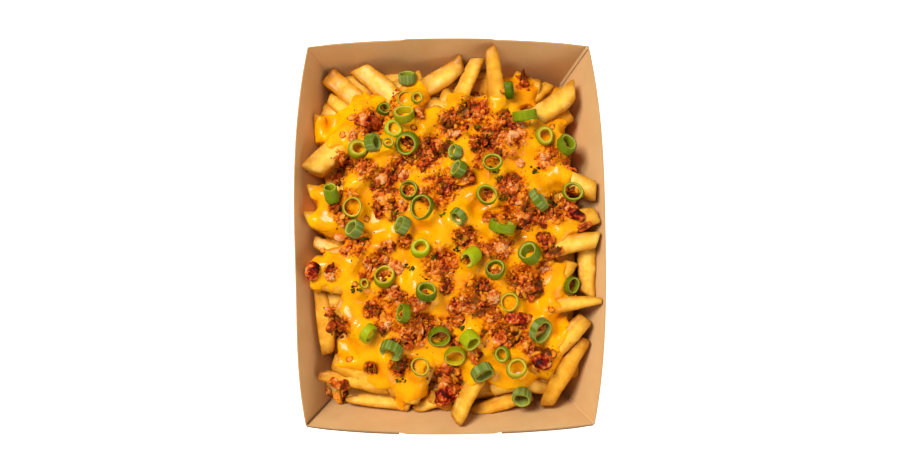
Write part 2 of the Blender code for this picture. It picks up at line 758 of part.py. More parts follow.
def relief_points(bare_parts):
    """A triangular pattern of points well inside the sauce's edge, in mm."""
    row_height = SAUCE_CELL * math.sqrt(3) / 2
    rows = round(2 * RIM_HALF[1] / MM / row_height)
    columns = round(2 * RIM_HALF[0] / MM / SAUCE_CELL)
    points = []
    for row in range(rows):
        for column in range(columns):
            x = (column - columns / 2 + 0.5 * (row % 2)) * SAUCE_CELL
            y = (row - rows / 2) * row_height
            if sauce_depth_inside(x, y, bare_parts) > SAUCE_CELL_INSET * SAUCE_CELL:
                points.append(Vector((x, y)))
    return points


def sauce_shape(fries):
    """A closed blanket over the fries: a triangulated relief within the sauce's outline."""
    bare_parts = [bare_part(fry) for fry in fries if fry[3] > 0]
    edge = sauce_outline(bare_parts)
    sides = [(i, (i + 1) % len(edge)) for i in range(len(edge))]
    points = edge + relief_points(bare_parts)
    flat = delaunay_2d_cdt(points, sides, [list(range(len(edge)))], 1, 1e-5)
    shape = bmesh.new()

    def share_inside(x, y):
        return max(0, min(1, sauce_depth_inside(x / MM, y / MM, bare_parts) / SAUCE_SLOPE))

    def base_at(vert):
        return vert.co.z - SAUCE_SKIRT - SAUCE_ROOT * share_inside(vert.co.x, vert.co.y)

    verts = []
    for point in flat[0]:
        x, y = point * MM
        thickness = SAUCE_EDGE + (SAUCE_DEEP - SAUCE_EDGE) * math.sqrt(share_inside(x, y))
        verts.append(shape.verts.new((x, y, draped_height(x, y, fries) + thickness)))
    for face in flat[2]:
        shape.faces.new([verts[i] for i in face])
    close_downwards(shape, base_at)
    return shape


def crumb_shape(draw, centre, size):
    """A small angular lump of bacon."""
    shape = bmesh.new()
    bmesh.ops.create_icosphere(shape, subdivisions=1, radius=0.5)
    for vert in shape.verts:
        vert.co *= draw.uniform(0.8, 1.15)
    stretch = Vector((draw.uniform(0.8, 1.3), draw.uniform(0.8, 1.1), draw.uniform(0.55, 0.8)))
    bmesh.ops.scale(shape, vec=stretch * size, verts=shape.verts[:])
    turn = Matrix.Rotation(draw.uniform(0, math.tau), 4, "Z")
    bmesh.ops.transform(shape, matrix=Matrix.Translation(centre) @ turn, verts=shape.verts[:])
    return shape


def surface_below(tree, point):
    """The height of the food under a point, seen from above."""
    hit = tree.ray_cast(Vector((point.x, point.y, CAVITY_TOP)), Vector((0, 0, -1)))
    return hit[0].z if hit[0] else BED_LOWEST


def drape_tree(*objects):
    """A tree of the top surfaces that toppings rest on."""
    shape = bmesh.new()
    for obj in objects:
        shape.from_mesh(obj.data)
    tree = BVHTree.FromBMesh(shape)
    shape.free()
    return tree


def clear_of_toppings(x, y, size):
    """Whether a crumb at x, y mm stays clear of the pieces that lie on their own."""
    room = size / MM * CRUMB_REACH + CRUMB_CLEARANCE
    spots = [(row[0], row[1], row[2] / 2) for row in SLICES]
    spots += [(row[0], row[1], row[2] / 2) for row in BACON_PIECES]
    return all(math.hypot(x - spot[0], y - spot[1]) > spot[2] + room for spot in spots)


def add_crumbs(helpers, tree):
    """Crumbs of bacon at seeded random places in each drift, half sunk in the sauce."""
    draw = random.Random(BACON_SEED)
    taken = []
    for x, y, radius in BACON_DRIFTS:
        for _ in range(CRUMB_TRIES):
            turn = draw.uniform(0, math.tau)
            away = radius * math.sqrt(draw.random())
            size = draw.uniform(*CRUMB_SIZE)
            u, v = x + away * math.cos(turn), y + away * math.sin(turn)
            crowded = any(math.hypot(u - a, v - b) < CRUMB_SPACING for a, b in taken)
            if crowded or not clear_of_toppings(u, v, size):
                continue
            taken.append((u, v))
            place = on_sight_line(u, v, BED_CENTRE)
            place.z = surface_below(tree, place) + size * CRUMB_LIFT
            add_object("crumb", crumb_shape(draw, place, size), helpers)


# Toppings that are pieces of their own


def settle(points, tree, sink):
    """How far to raise a set of points so that the lowest of them sinks into the food by sink."""
    return max(surface_below(tree, point) - point.z for point in points) - sink


def slice_axis(lean, heading):
    """The direction of a slice's axis, from its lean and heading in degrees."""
    lean, heading = math.radians(lean), math.radians(heading)
    return Vector(
        (math.sin(lean) * math.cos(heading), math.sin(lean) * math.sin(heading), math.cos(lean))
    )


def tube_shape(radius, length, wall):
    """A short tube along Z, or a plain cylinder where wall is zero."""
    shape = bmesh.new()
    corners = [math.tau * i / SLICE_SIDES for i in range(SLICE_SIDES)]

    def ring(reach, height):
        return [(reach * math.cos(a), reach * math.sin(a), height) for a in corners]

    if wall:
        rings = [
            ring(radius, -length / 2),
            ring(radius, length / 2),
            ring(radius - wall, length / 2),
            ring(radius - wall, -length / 2),
            ring(radius, -length / 2),
        ]
        loft(shape, rings, cap_first=False, cap_last=False)
        bmesh.ops.remove_doubles(shape, verts=shape.verts[:], dist=1e-6)
    else:
        loft(shape, [ring(radius, -length / 2), ring(radius, length / 2)])
    return shape


def place_slice(row, tree):
    """The matrix that lays a slice of onion on the food."""
    x, y, diameter, length, _, lean, heading = row
    axis = slice_axis(lean, heading)
    turn = Vector((0, 0, 1)).rotation_difference(axis).to_matrix().to_4x4()
    radius = diameter * MM / 2
    half = length * MM / 2
    sink = SLICE_SINK[0] + SLICE_SINK[1] * math.sin(math.radians(lean)) ** 2
    place = on_sight_line(x, y, BED_CENTRE)
    for _ in range(SETTLE_PASSES):
        rim = [
            place + turn @ Vector((radius * math.cos(a), radius * math.sin(a), end))
            for a in (math.tau * i / SETTLE_SIDES for i in range(SETTLE_SIDES))
            for end in (-half, half)
        ]
        height = place.z + settle(rim, tree, sink)
        place = on_sight_line(x, y, height)
    return Matrix.Translation(place) @ turn


def raise_clear(shape, others):
    """Lifts a shape in small steps until it is clear of every other, and says how far."""
    lifted = 0
    while True:
        tree = BVHTree.FromBMesh(shape)
        if not any(tree.overlap(other) for other in others):
            return Matrix.Translation((0, 0, lifted))
        bmesh.ops.translate(shape, vec=(0, 0, LIFT_STEP), verts=shape.verts[:])
        lifted += LIFT_STEP


def build_slices(home, tree, cutters):
    """The slices, and for each the room that it needs in the food under it."""
    placed = []
    for i, row in enumerate(SLICES):
        radius, length, wall = row[2] * MM / 2, row[3] * MM, row[4] * MM
        matrix = place_slice(row, tree)
        grown = tube_shape(radius + SLICE_CLEARANCE, length + 2 * SLICE_CLEARANCE, 0)
        bmesh.ops.transform(grown, matrix=matrix, verts=grown.verts[:])
        lift = raise_clear(grown, placed)
        placed.append(BVHTree.FromBMesh(grown))
        add_object("slice_room", grown, cutters)
        shape = tube_shape(radius, length, wall)
        bmesh.ops.transform(shape, matrix=lift @ matrix, verts=shape.verts[:])
        add_object(f"onion_slice_{i + 1:02d}", shape, home, ONION)


def piece_shape(length, width, thickness, grow=0.0):
    """A torn piece of bacon: a block with blunt corners, one narrow end and a buckled top."""
    shape = bmesh.new()
    bmesh.ops.create_cube(shape, size=1)
    bmesh.ops.subdivide_edges(shape, edges=shape.edges[:], cuts=1, use_grid_fill=True)
    for vert in shape.verts:
        vert.co *= 1 - PIECE_BLUNTNESS * max(0, vert.co.length - 0.5)
        vert.co.y *= 1 - PIECE_TAPER * vert.co.x
        vert.co.z += PIECE_BUCKLE * math.cos(PIECE_WAVES * vert.co.x)
    full = Vector((length, width, thickness))
    bmesh.ops.scale(shape, vec=full * MM + Vector((2, 2, 2)) * grow, verts=shape.verts[:])
    return shape


def build_bacon_pieces(home, tree, cutters):
    """The pieces that stand alone, and for each the room that it needs in the food."""
    for i, (x, y, length, width, thickness, heading) in enumerate(BACON_PIECES):
        turn = Matrix.Rotation(math.radians(heading), 4, "Z")
        place = on_sight_line(x, y, BED_CENTRE)
        shape = piece_shape(length, width, thickness)
        for _ in range(SETTLE_PASSES):
            points = [place + turn @ vert.co for vert in shape.verts]
            place = on_sight_line(x, y, place.z + settle(points, tree, PIECE_SINK))
        matrix = Matrix.Translation(place) @ turn
        bmesh.ops.transform(shape, matrix=matrix, verts=shape.verts[:])
        add_object(f"bacon_piece_{i + 1}", shape, home, BACON)
        grown = piece_shape(length, width, thickness, grow=PIECE_CLEARANCE)
        bmesh.ops.transform(grown, matrix=matrix, verts=grown.verts[:])
        add_object("bacon_room", grown, cutters)


def build_food(home, helpers, cutters, cavity):
    """The heap, the sauce draped on it and the toppings, each cut clear of its neighbours."""
    bare = [fry_from_row(row) for row in BARE_FRIES]
    fries = bare + edge_fries()
    covered = [fry_from_row(row) for row in COVERED_FRIES]
    heap = build_fries(home, helpers, cavity, fries)
    sauce = add_object("cheese_sauce", sauce_shape(bare + covered + loose_fries()), home, CHEESE)
    tree = drape_tree(heap, sauce)
    add_crumbs(helpers, tree)
    apply_boolean(sauce, "UNION", helpers, "MANIFOLD")
    remove_contents(helpers)
    build_slices(home, tree, cutters)
    build_bacon_pieces(home, tree, cutters)
    apply_boolean(heap, "DIFFERENCE", cutters, "MANIFOLD")
    keep_largest_island(heap)
    add_object("core_room", core_shape(grow=GAP), cutters)
    for outer, inner, width, _ in fries:
        add_object("fry_room", fry_shape(outer, inner, width, grow=FRY_CLEARANCE), cutters)
    apply_boolean(sauce, "DIFFERENCE", cutters, "MANIFOLD")
    apply_boolean(sauce, "INTERSECT", cavity, "MANIFOLD")
    keep_largest_island(sauce)
    remove_contents(cutters)


def main():
    clear_scene()
    home = collection("loaded_fries_tray")
    helpers = collection("helpers", hidden=True)
    cutters = collection("cutters", hidden=True)
    limits = collection("limits", hidden=True)
    build_tray(home, helpers)
    build_food(home, helpers, cutters, build_cavity(limits))
    remove_contents(limits)


main()
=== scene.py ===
"""The looks of a kraft board tray of loaded fries: the board, thick-cut fries over a core,
cheese sauce draped on them, crumbled bacon and slices of spring onion.

Everything is in the frame of the CAD model: X across the tray, Y along it and Z up, in metres.
Rows of a layout are in mm, read on the plane of the tray's rim as the camera sees it.
"""

import math
import random

import bmesh
import bpy
import numpy as np
from mathutils import Euler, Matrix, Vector
from mathutils.bvhtree import BVHTree


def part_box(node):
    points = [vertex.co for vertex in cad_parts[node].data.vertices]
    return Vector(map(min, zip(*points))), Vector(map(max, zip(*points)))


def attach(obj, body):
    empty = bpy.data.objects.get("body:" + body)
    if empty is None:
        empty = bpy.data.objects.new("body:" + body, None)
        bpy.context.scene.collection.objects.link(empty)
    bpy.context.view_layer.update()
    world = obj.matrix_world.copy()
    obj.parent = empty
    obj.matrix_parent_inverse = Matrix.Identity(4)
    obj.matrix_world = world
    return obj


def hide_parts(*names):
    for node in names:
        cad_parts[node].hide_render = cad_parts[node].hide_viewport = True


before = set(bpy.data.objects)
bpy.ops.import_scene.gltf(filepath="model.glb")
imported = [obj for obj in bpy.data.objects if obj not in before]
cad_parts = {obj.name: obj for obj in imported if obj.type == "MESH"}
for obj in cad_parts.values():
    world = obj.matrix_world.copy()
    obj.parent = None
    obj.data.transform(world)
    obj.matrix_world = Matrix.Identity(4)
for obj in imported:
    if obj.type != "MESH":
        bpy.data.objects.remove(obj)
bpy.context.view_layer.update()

MM = 0.001
BODY = "root"

# The camera, which is also the eye that the layout is read from.
EYE = Vector((-4.4 * MM, -44.4 * MM, 578.6 * MM))
EYE_TURN = (math.radians(4.59), math.radians(-0.48), math.radians(-0.31))
LENS = 45
SENSOR = 36
# The room: a white floor that glows a little, a white sky and two square lamps.
FLOOR_GLOW = 0.8
FLOOR_HALF = 3.0
FLOOR_DROP = 0.3 * MM
SKY_STRENGTH = 0.30
# Each lamp: place, size, power.
LAMPS = {
    "key_light": ((-0.62, 0.50, 1.30), 0.60, 27),
    "fill_light": ((0.9, -0.9, 0.55), 0.9, 8.5),
}

# The tray, as in the CAD model.
TRAY_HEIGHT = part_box("tray")[1].z
BOARD = 0.6 * MM
FOOT_HALF = (53.5 * MM, 73.5 * MM)
RIM_HALF = (67.5 * MM, 90 * MM)
BOW = ({1: 6.5 * MM, -1: 6.5 * MM}, {1: 3.4 * MM, -1: 3.6 * MM})
BOW_POWER = (2.8, 2.2)
WEST_SAG = 1.5 * MM
WEST_SAG_PLACE = -0.4
WEST_SAG_SPREAD = 0.42
WALL_STEPS = 40
WALL_LEVELS = 14
WALL_GAP = 0.3 * MM
FOLD_RADIUS = 0.6 * MM
CREASE = math.radians(25)
SHARP_FOLD = math.radians(12)
FLAP_INNER_END = 24 * MM
FLAP_SLANT = 9 * MM
FLAP_FOOT = 4 * MM
FLAP_GAP = {-1: 0.3 * MM, 1: 0.35 * MM}
FLAP_DROP = {-1: 0.3 * MM, 1: 1.2 * MM}
FLAP_REST = 0.05 * MM
FLAP_STEPS = 14
FLAP_LEVELS = 6
# Lines down the corners: a pale cut edge; a pale strip on a fold, a painted highlight; and a dark
# strip in a crease, painted shade. Each row: name, corner, width, how far in, height of its foot.
SEAMS = [
    ("tray_seam", (1, 1), 1.3 * MM, 0.5 * MM, 14 * MM),
    ("tray_fold", (1, -1), 0.5 * MM, 0.1 * MM, 16 * MM),
    ("tray_crease", (-1, -1), 0.45 * MM, 0.1 * MM, 18 * MM),
]
# The middle of a short wall stands up between its flaps and leans out a little.
TAB_RISE = 0.8 * MM
TAB_LEAN = {-1: 0.6 * MM, 1: 0.4 * MM}
TAB_BLEND = 2 * MM

# The bed of fries, as in the CAD model.
BED_CENTRE = 46 * MM
BED_FALL = {"west": 13 * MM, "east": 7 * MM, "north": 19 * MM, "south": 18 * MM}
BED_REACH = (66 * MM, 84 * MM)
BED_LOWEST = 9 * MM
CORE_DROP = 5 * MM
CORE_STEPS = 40
CORE_FOOT = 9 * MM
CORE_INSET = 1.2 * MM
CORE_SLOPE = 240 * MM
BEDDING = 1 * MM
FREE_SHARE = 0.85
FRY_SEED = 11
FRY_LENGTHS = (34 * MM, 58 * MM)
FRY_WIDTHS = (8 * MM, 10.5 * MM)
LOOSE_FRIES = 12
LOOSE_FRY_REACH = (42 * MM, 62 * MM)
LOOSE_FRY_SINK = 5 * MM
EDGE_FRIES = 16
EDGE_FRY_REACH = (0.80, 0.88)
EDGE_FRY_SINK = 9 * MM
# Fries deeper than those of the CAD model, seen in the gaps: how many, how far out, how deep.
UNDER_FRIES = [(30, (0.86, 0.93), 12 * MM), (26, (0.80, 0.88), 20 * MM)]
UNDER_FRY_MARGIN = 6 * MM

# Fries that show. Each row: outer end x, y, z; inner end x, y, z; width; length left bare of
# sauce; how pointed the outer end is; sideways bend in mm; how brown the end is.
BARE_FRIES = [
    (-57.5, 75.5, 25, -33, 53, 36, 10.5, 16, 0.10, 0.6, 0.9),
    (-51, 76.5, 17, -36, 66, 24, 8, 19, 0.15, -0.5, 0.8),
    (-42.5, 79.0, 27.5, -22, 60.5, 37, 11, 16, 0.15, 0.8, 0.3),
    (-57, 64.5, 25, -46, 56, 33, 8, 9, 0.30, 0.2, 0.4),
    (-66, 29.5, 39, -44, 53, 41, 11.5, 16, 0.05, -0.6, 0.4),
    (7, 82.5, 32, -14, 69.5, 38, 9.5, 15, 0.05, 0.9, 0.9),
    (14.5, 84.5, 30, 4, 62, 38, 7.5, 17, 0.05, -0.4, 0.5),
    (20.3, 90, 43, 24, 58, 43, 9, 25, 0.38, 0.5, 0.5),
    (48, 71, 23, 36, 61, 32, 7, 8, 0.15, 0.0, 0.5),
    (60.5, 69, 35, 38, 54, 41, 10.5, 16, 0.1, 0.9, 0.4),
    (70.3, 19.5, 42.5, 48, 32, 41, 9, 12, 0.1, 1.0, 0.4),
    (71, 8, 42, 46, 5, 41, 9.5, 7, 0.15, 0.3, 0.4),
    (71, -3.5, 43, 44, -9, 43, 9.5, 15, 0.20, -0.8, 0.3),
    (65.3, -30, 35, 65.3, -5, 35.5, 8.5, 25, 0.02, 0.3, 0.3),
    (72.3, -32.5, 44, 44, -36.5, 42, 7.5, 22, 0.60, -0.9, 0.4),
    (64.5, -40.5, 37.5, 42, -62, 38, 9, 8, 0.15, 0.7, 0.6),
    (45.2, -81.5, 28.5, 64.5, -50.5, 35.5, 10, 40, 0.45, 1.2, 0.8),
    (46, -74, 25, 32, -70, 31, 7.5, 9, 0.20, 0.0, 0.8),
    (10.5, -85, 27, 38, -76, 29, 8, 21, 0.2, 0.5, 0.4),
    (2.5, -88.5, 41, 15, -66, 40, 8.5, 18, 0.12, 0.6, 0.3),
    (-17, -83, 26, 4, -76, 31, 7, 12, 0.4, 0.5, 0.8),
    (1, -83, 24, -10, -76, 30, 6, 8, 0.30, 0.0, 0.5),
    (-49, -78.5, 25, -18, -80, 27.5, 8, 24, 0.75, 0.8, 0.6),
    (-62, -67.3, 32, -30, -72, 34, 9.5, 25, 0.55, 1.0, 0.9),
    (-57.5, -57, 29, -62, -25, 33, 9, 33, 0.35, -1.2, 0.9),
    (-64, -3.8, 33, -48, -12, 38, 8, 9, 0.3, 0.3, 0.6),
]
# Fries that the sauce covers. Each row: one end x, y, z; other end x, y, z; width.
COVERED_FRIES = [
    (-61.5, 57, 31, -61.5, 45, 34, 7),
    (-67, 20, 40, -44, 14, 40, 9),
    (-68, 6.5, 40.5, -42, 4, 41, 10),
    (-66.5, -14, 40, -44, -18, 39, 10),
    (-66, -22, 40, -42, -26, 40, 9.5),
    (-53, -33, 37, -38, -46, 40, 10),
    (-55, -60, 33, -32, -72, 35, 9),
    (-18.5, -80, 31, -11, -62, 37, 9),
    (19, -74, 31, 38, -69, 34, 8),
    (28, -60, 38, 39, -52, 40, 9),
    (58, -14, 38, 46, -30, 40, 8),
    (31, 75, 27, 44, 68.5, 28, 8),
    (-13, 75.5, 31, -28, 60, 38, 8),
    (58, 56.5, 29, 44, 48, 36, 8),
    (57, 45, 34, 40, 38, 42, 9),
    (39, 67, 28, 28, 59, 36, 8),
    (-50, 20, 41, -30, 38, 41, 11),
    (-14, 49, 41, -3, 60, 40, 9),
    (-60, -12, 37, -30, -6, 41, 9),
    (-50, -36, 39, -36, -60, 38, 10),
    (3, 2, 42.5, 20, 5, 42.5, 9),
    (5, 10, 43, 12, 22, 43, 8),
    (-8, -9, 42.5, 0, 5, 42.5, 8),
    (5, 45, 42.5, 20, 28, 42.5, 10),
    (-12, 20, 43, -2, 35, 43, 8),
    (4, -26, 42, 8, -12, 42, 8),
    (8, -42, 41, 19, -57, 40, 10),
    (33, 19, 42, 56, 30, 40, 9),
    (45, -28, 41, 52, -16, 41, 8),
    (-32, -58, 39, -24, -76, 34, 9),
    (38, -62, 37, 52, -66, 35, 9),
    (-20, -30, 42, -12, -10, 42, 9),
    (20, -20, 42, 34, -40, 41, 9),
    (26, 40, 42, 44, 48, 40, 9),
]
# Fries of the lower layer that a gap shows, in the same form.
DEEP_FRIES = [(-61, -71, 18, -34, -77, 20, 9), (-62, 62, 20, -48, 44, 24, 8)]
# The form of a fry: rings along it and corners round it, by whether it is fine; its section; its
# ends, in shares of its width; its twist in degrees; and its roughness, as depth and size.
FRY_GRID = {True: (34, 28), False: (20, 16)}
FRY_DEPTH = 0.9
FRY_SQUARENESS = 8
FRY_HOLLOW = 0.04
FRY_BLUNT = 0.2
FRY_END = 0.72
FRY_TAPER = 2.4
FRY_FADE = 0.5
FRY_SLANT = 0.7
FRY_TWIST = 9
FRY_SAG = 0.4 * MM
FRY_ROUGH = [(0.22 * MM, 11 * MM), (0.09 * MM, 3.5 * MM)]

# Sauce: one broad pool and the lobes that run out of it. Each lobe: x, y, x, y, radius.
POOL_HALF = (50, 63)
POOL_CORNER = 20
POOL_CENTRE = (-1, -1)
LOBES = [
    (-60.5, 55, -60.5, 46, 5.5),
    (-56, 52, -48, 56, 8),
    (-46, 55, -40, 62, 9),
    (-61.5, 20, -60, 15, 6.5),
    (-62.5, 6, -50, 5, 6.5),
    (-62, -13, -61.5, -23, 6.5),
    (-57, -18, -50, -18, 7),
    (-51.5, -58, -30, -67, 7.5),
    (-22, -70, -22, -82.5, 4.2),
    (-16, -66, -16, -76, 5),
    (-2, -64, 10, -67, 5.5),
    (24, -68, 34, -69, 6),
    (45, -58, 48, -64, 7),
    (50, -46, 50, -20, 7),
    (57, 5, 50, 4, 7),
    (54, 52, 46, 46, 5),
    (53, 42, 53, 28, 7),
    (34, 70, 38, 70, 6),
    (31, 76, 38, 72, 6.5),
    (-15, 70, -22, 64, 6),
    (4, 64, 26, 60, 6),
]
LOBE_BLEND = 3
# Round the sauce's edge, in mm: how far it bulges along a bare fry, how far it wanders, over how
# much it rounds down, how much is kept outside it, and how far in the sauce has its full depth.
SAUCE_TONGUE = 2.5
SAUCE_WANDER = 0.9
SAUCE_FRONT = 2.6
SAUCE_HEM = 1.5
SAUCE_RUN = 9
# The sauce: its depth at the edge and well inside, how uneven that is, the least of it over a
# fry before and after it is smoothed, how far its draft goes down outside its edge and under the
# fries, the size of a voxel, and the relief where crumbs are mashed in.
SAUCE_EDGE = 1.0 * MM
SAUCE_DEEP = 2.4 * MM
SAUCE_UNEVEN = 0.35
SAUCE_LEAST = 0.9 * MM
SAUCE_COVER = 0.45 * MM
SAUCE_TUCK = 1.6 * MM
SAUCE_FLOOR = 3 * MM
SAUCE_VOXEL = 0.9 * MM
MASH_RELIEF = 0.65 * MM
# The grid that the sauce is shaped on, and distances counted in its cells.
CELL = 0.7 * MM
GRID_HALF = (75 * MM, 95 * MM)
SAUCE_CLOSING = 4
SAUCE_BLUR = 2.0
SAUCE_BLUR_SKIN = 0.8
SAUCE_BLUR_UNDER = 2
# How deep toppings are sunk in the sauce, and how far round them it rises with them.
SLICE_SINK = (1.0 * MM, 1.8 * MM)
PIECE_SINK = 1.2 * MM
TOPPING_REACH = 4 * MM

# Where crumbs of bacon lie thickest, as x, y, radius.
BACON_DRIFTS = [
    (-38, 54, 8), (-27, 58, 5), (-22, 34, 6), (-10, 39, 9), (2, 53, 8), (13, 60, 8), (22, 49, 9),
    (32, 48, 7), (20, 41, 8), (48, 38, 6), (-52, 34, 6), (-40, 30, 5), (-30, 26, 6), (-28, 15, 8),
    (-6, 20, 9), (2, 26, 6), (30, 22, 8), (33, 9, 9), (52, 12, 8), (-44, -4, 7), (-50, 8, 5),
    (-33, -13, 6), (-5, -14, 9), (8, -2, 6), (24, -8, 7), (36, -22, 9), (-30, -34, 8),
    (-52, -44, 5), (-18, -46, 9), (14, -30, 10), (22, -48, 8), (32, -48, 7), (-2, -70, 8),
    (-22, -62, 5), (44, -60, 6),
]
# Clusters of crumbs of one tone: x, y, length, width, tone from 0, charred, to 1, pale fat.
BACON_CLUSTERS = [
    (-27.5, 58, 7, 7, 0.12), (-24.5, 66, 3, 6, 0.38), (-14.5, 58.5, 4, 4, 0.8),
    (0, 53, 7, 10, 0.35), (-8, 44, 7, 6, 0.45), (-13, 37, 12, 11, 0.3), (-20.5, 37, 6, 5, 0.15),
    (-3, 40, 6, 6, 0.2), (-49.5, 34, 9, 6, 0.22), (-53.5, 25.5, 5, 5, 0.5), (-48, 18, 7, 5, 0.45),
    (-40, 32, 9, 6, 0.6), (-27, 29, 6, 6, 0.18), (-34.5, 22.8, 5, 4, 0.42), (-31, 14, 9, 11, 0.48),
    (-27, 10, 6, 4, 0.08), (-12.5, 18.5, 6, 5, 0.7), (-23.5, 12.5, 5, 5, 0.5),
    (-1.5, 24.5, 5, 7, 0.4), (-54, 12.5, 5, 4, 0.5), (13, 59.5, 12, 7, 0.45),
    (7.5, 57.8, 4, 4, 0.1), (26, 56.8, 5, 5, 0.2), (36.7, 74.8, 6, 4, 0.25), (29.5, 50, 13, 8, 0.6),
    (21, 48, 8, 7, 0.25), (23.5, 40.5, 7, 7, 0.32), (14, 42.5, 6, 8, 0.48), (8, 27, 7, 6, 0.45),
    (15, 34, 5, 5, 0.4), (46, 34.5, 5, 6, 0.5), (60.5, 35.5, 5, 5, 0.3), (30, 23, 9, 8, 0.5),
    (34, 17, 7, 6, 0.48), (42, 9, 18, 9, 0.4), (34, 7, 8, 7, 0.28), (56, 12.5, 7, 6, 0.5),
    (20, 7.5, 6, 5, 0.55), (6, -2, 7, 6, 0.5), (45.8, -3.5, 7, 6, 0.22), (49, -9, 7, 6, 0.4),
    (16, -7.5, 6, 5, 0.42), (45.5, -16.5, 5, 5, 0.5), (37.5, -26, 12, 10, 0.28),
    (15.5, -25, 7, 7, 0.25), (14, -34, 10, 10, 0.22), (-1.5, -25, 6, 6, 0.18),
    (-1, -14, 8, 6, 0.38), (-6, -17, 8, 7, 0.45), (5, -35, 9, 8, 0.6), (30, -48.5, 7, 7, 0.06),
    (3, -41.5, 7, 4, 0.3), (-55.5, -17.5, 5, 4, 0.1), (-48.5, -7.5, 5, 4, 0.4),
    (-29.5, -7, 5, 5, 0.45), (-21, -4, 6, 5, 0.4), (-37, -14, 6, 5, 0.4), (-39.5, -20, 5, 5, 0.5),
    (-36.5, -36.5, 8, 6, 0.3), (-28, -27, 7, 6, 0.48), (-24, -31, 7, 6, 0.4), (-56, -37, 4, 4, 0.5),
    (-53, -44, 8, 6, 0.35), (-31, -43, 8, 6, 0.5), (-26, -52.5, 6, 5, 0.2), (-19, -48, 8, 7, 0.42),
    (-12, -42, 8, 7, 0.52), (-37.5, -63.8, 5, 4, 0.42), (-24.5, -63, 7, 7, 0.14),
    (0, -66, 9, 6, 0.45), (0, -74, 9, 8, 0.38), (42, -58, 7, 5, 0.15), (11.7, -57.5, 5, 4, 0.5),
    (37, -54, 5, 5, 0.6), (2.5, -51.5, 5, 4, 0.4), (-51, -77, 3, 5, 0.35),
    (-57.5, -75.5, 4, 4, 0.75), (-4, -44, 8, 6, 0.5), (-15, -33, 8, 6, 0.55), (20, -39, 8, 6, 0.5),
    (8, -12, 4, 4, 0.4),
]
# Pieces in one: x, y, length, width, thickness, heading in degrees, tone.
BACON_SLABS = [
    (-42, 55, 7, 5, 2.4, 10, 0.62), (-35, 53, 7, 6, 2.4, -50, 0.45),
    (-31.5, 26.3, 7, 5.5, 2, 20, 0.86), (-52, -1.5, 6, 4.5, 2, 10, 0.84),
    (64.5, 2, 7.5, 4, 1.6, 35, 0.62), (35, -40.5, 9.5, 5, 2, -12, 0.36),
    (23.3, -50.5, 8, 7, 3, 80, 0.62), (31.5, 46.5, 7, 4.5, 2.2, -20, 0.9),
    (-56, -44, 6, 4, 2, 60, 0.5), (-51.5, -42, 8, 3, 2, -50, 0.36), (61, 8.5, 6, 3, 2, -20, 0.2),
    (23, 38, 6, 3.5, 2.5, 70, 0.3),
]
# Frilled lumps of fat: x, y, length, width, tone.
FAT_LUMPS = [
    (-25.5, -16.5, 7.5, 7, 0.92), (-31, -12.5, 4.5, 4.5, 0.9), (-21.8, 27.3, 5, 5, 0.88),
    (24.5, -7.5, 7.5, 6.5, 0.86), (21, -30.5, 7, 7, 0.82), (37, 3, 4, 4, 0.86),
    (34, 33.5, 4, 4, 0.92), (29, 44.5, 6, 4, 0.92), (4, 47, 5, 5, 0.8), (-14.5, 58.5, 4, 4, 0.82),
    (27, -54, 5, 4, 0.8), (-46, 47, 6, 4, 0.92), (-57, -20, 5, 5, 0.8), (-5, -79, 5, 5, 0.72),
    (30, 38, 4, 3, 0.88),
]
# Curled shreds, browned at their rim: x, y, diameter.
BACON_CURLS = [
    (-47, 55.5, 4.4), (-51, 47.5, 3.8), (-17, 51, 3.6), (-51, 8, 3.6), (-39.5, 7, 3.6),
    (26.3, 68.5, 3.8), (49.5, 51, 3.4), (48, -36.5, 3.6), (45.5, -15, 3.8), (-44.8, -24, 3.2),
    (-47.5, -59.5, 3.8), (48.8, -57.5, 4.6), (-60, -8, 3.6),
]
# Clumps of dark green scraps: x, y.
HERB_CLUMPS = [
    (27, 17.5), (20.8, 29.5), (41.8, 29.7), (33, 2.5), (14, 50.5), (0.5, 43.5), (4, -7.2),
    (21.5, -12.7), (-40, -2.8), (-8, -12), (-30, 59.5), (-19.5, -16.5), (49, 15), (-25, 9.5),
    (6, -42), (-23.5, -70), (-45, -26), (-2.5, 9), (31, -29), (11, -38), (24, 26),
]
# Tones of the pieces of bacon that are nodes, by the number of their node.
CHUNK_TONES = {1: 0.22, 2: 0.20, 3: 0.22, 4: 0.45, 5: 0.26, 6: 0.28}

# How crumbs are scattered on a spot. Each row: pile; number to a square mm; how far past the
# spot in mm; sizes in mm; tone, added to the spot's own; its spread; share that is coated in
# sauce; height of the heap in mm.
CLUSTER_LAYERS = [
    ("lumps", 0.16, 0, (2.8, 5.6), -0.05, 0.14, 0.1, 0.4),
    ("crumbs", 0.17, 1, (1.4, 3.2), -0.05, 0.14, 0.25, 1.2),
    ("bits", 0.16, 3, (0.6, 1.4), -0.05, 0.20, 0.4, 0.9),
]
DRIFT_LAYERS = [
    ("crumbs", 0.10, 0, (1.2, 2.8), 0.46, 0.14, 0.3, 0.2),
    ("bits", 0.12, 3, (0.5, 1.3), 0.45, 0.25, 0.5, 0.2),
]
HOLE_LAYERS = [("crumbs", 0.6, 0, (1.2, 2.4), 0.25, 0.12, 0.1, 0.6)]
# Shapes of crumbs: subdivisions of a ball, seed, flat cuts, roughness.
CRUMB_SHAPES = {
    "lumps": (3, 100, 11, 0.15),
    "crumbs": (2, 200, 9, 0.17),
    "bits": (1, 300, 6, 0.14),
    "specks": (1, 500, 9, 0.14),
    "herbs": (2, 700, 9, 0.14),
}
CRUMB_KINDS = 12
# How far a crumb's tone drops in its hollows and rises on its crests: painted shade and light.
CRUMB_PAINTED_SHADE = 0.12
CRUMB_TILT = 0.5
CRUMB_STRETCH = [(0.85, 1.6), (0.75, 1.15)]
CRUMB_FLAT = (0.35, 0.7)
SCRAP_FLAT = (0.2, 0.4)
SCRAPS_A_CLUMP = 8
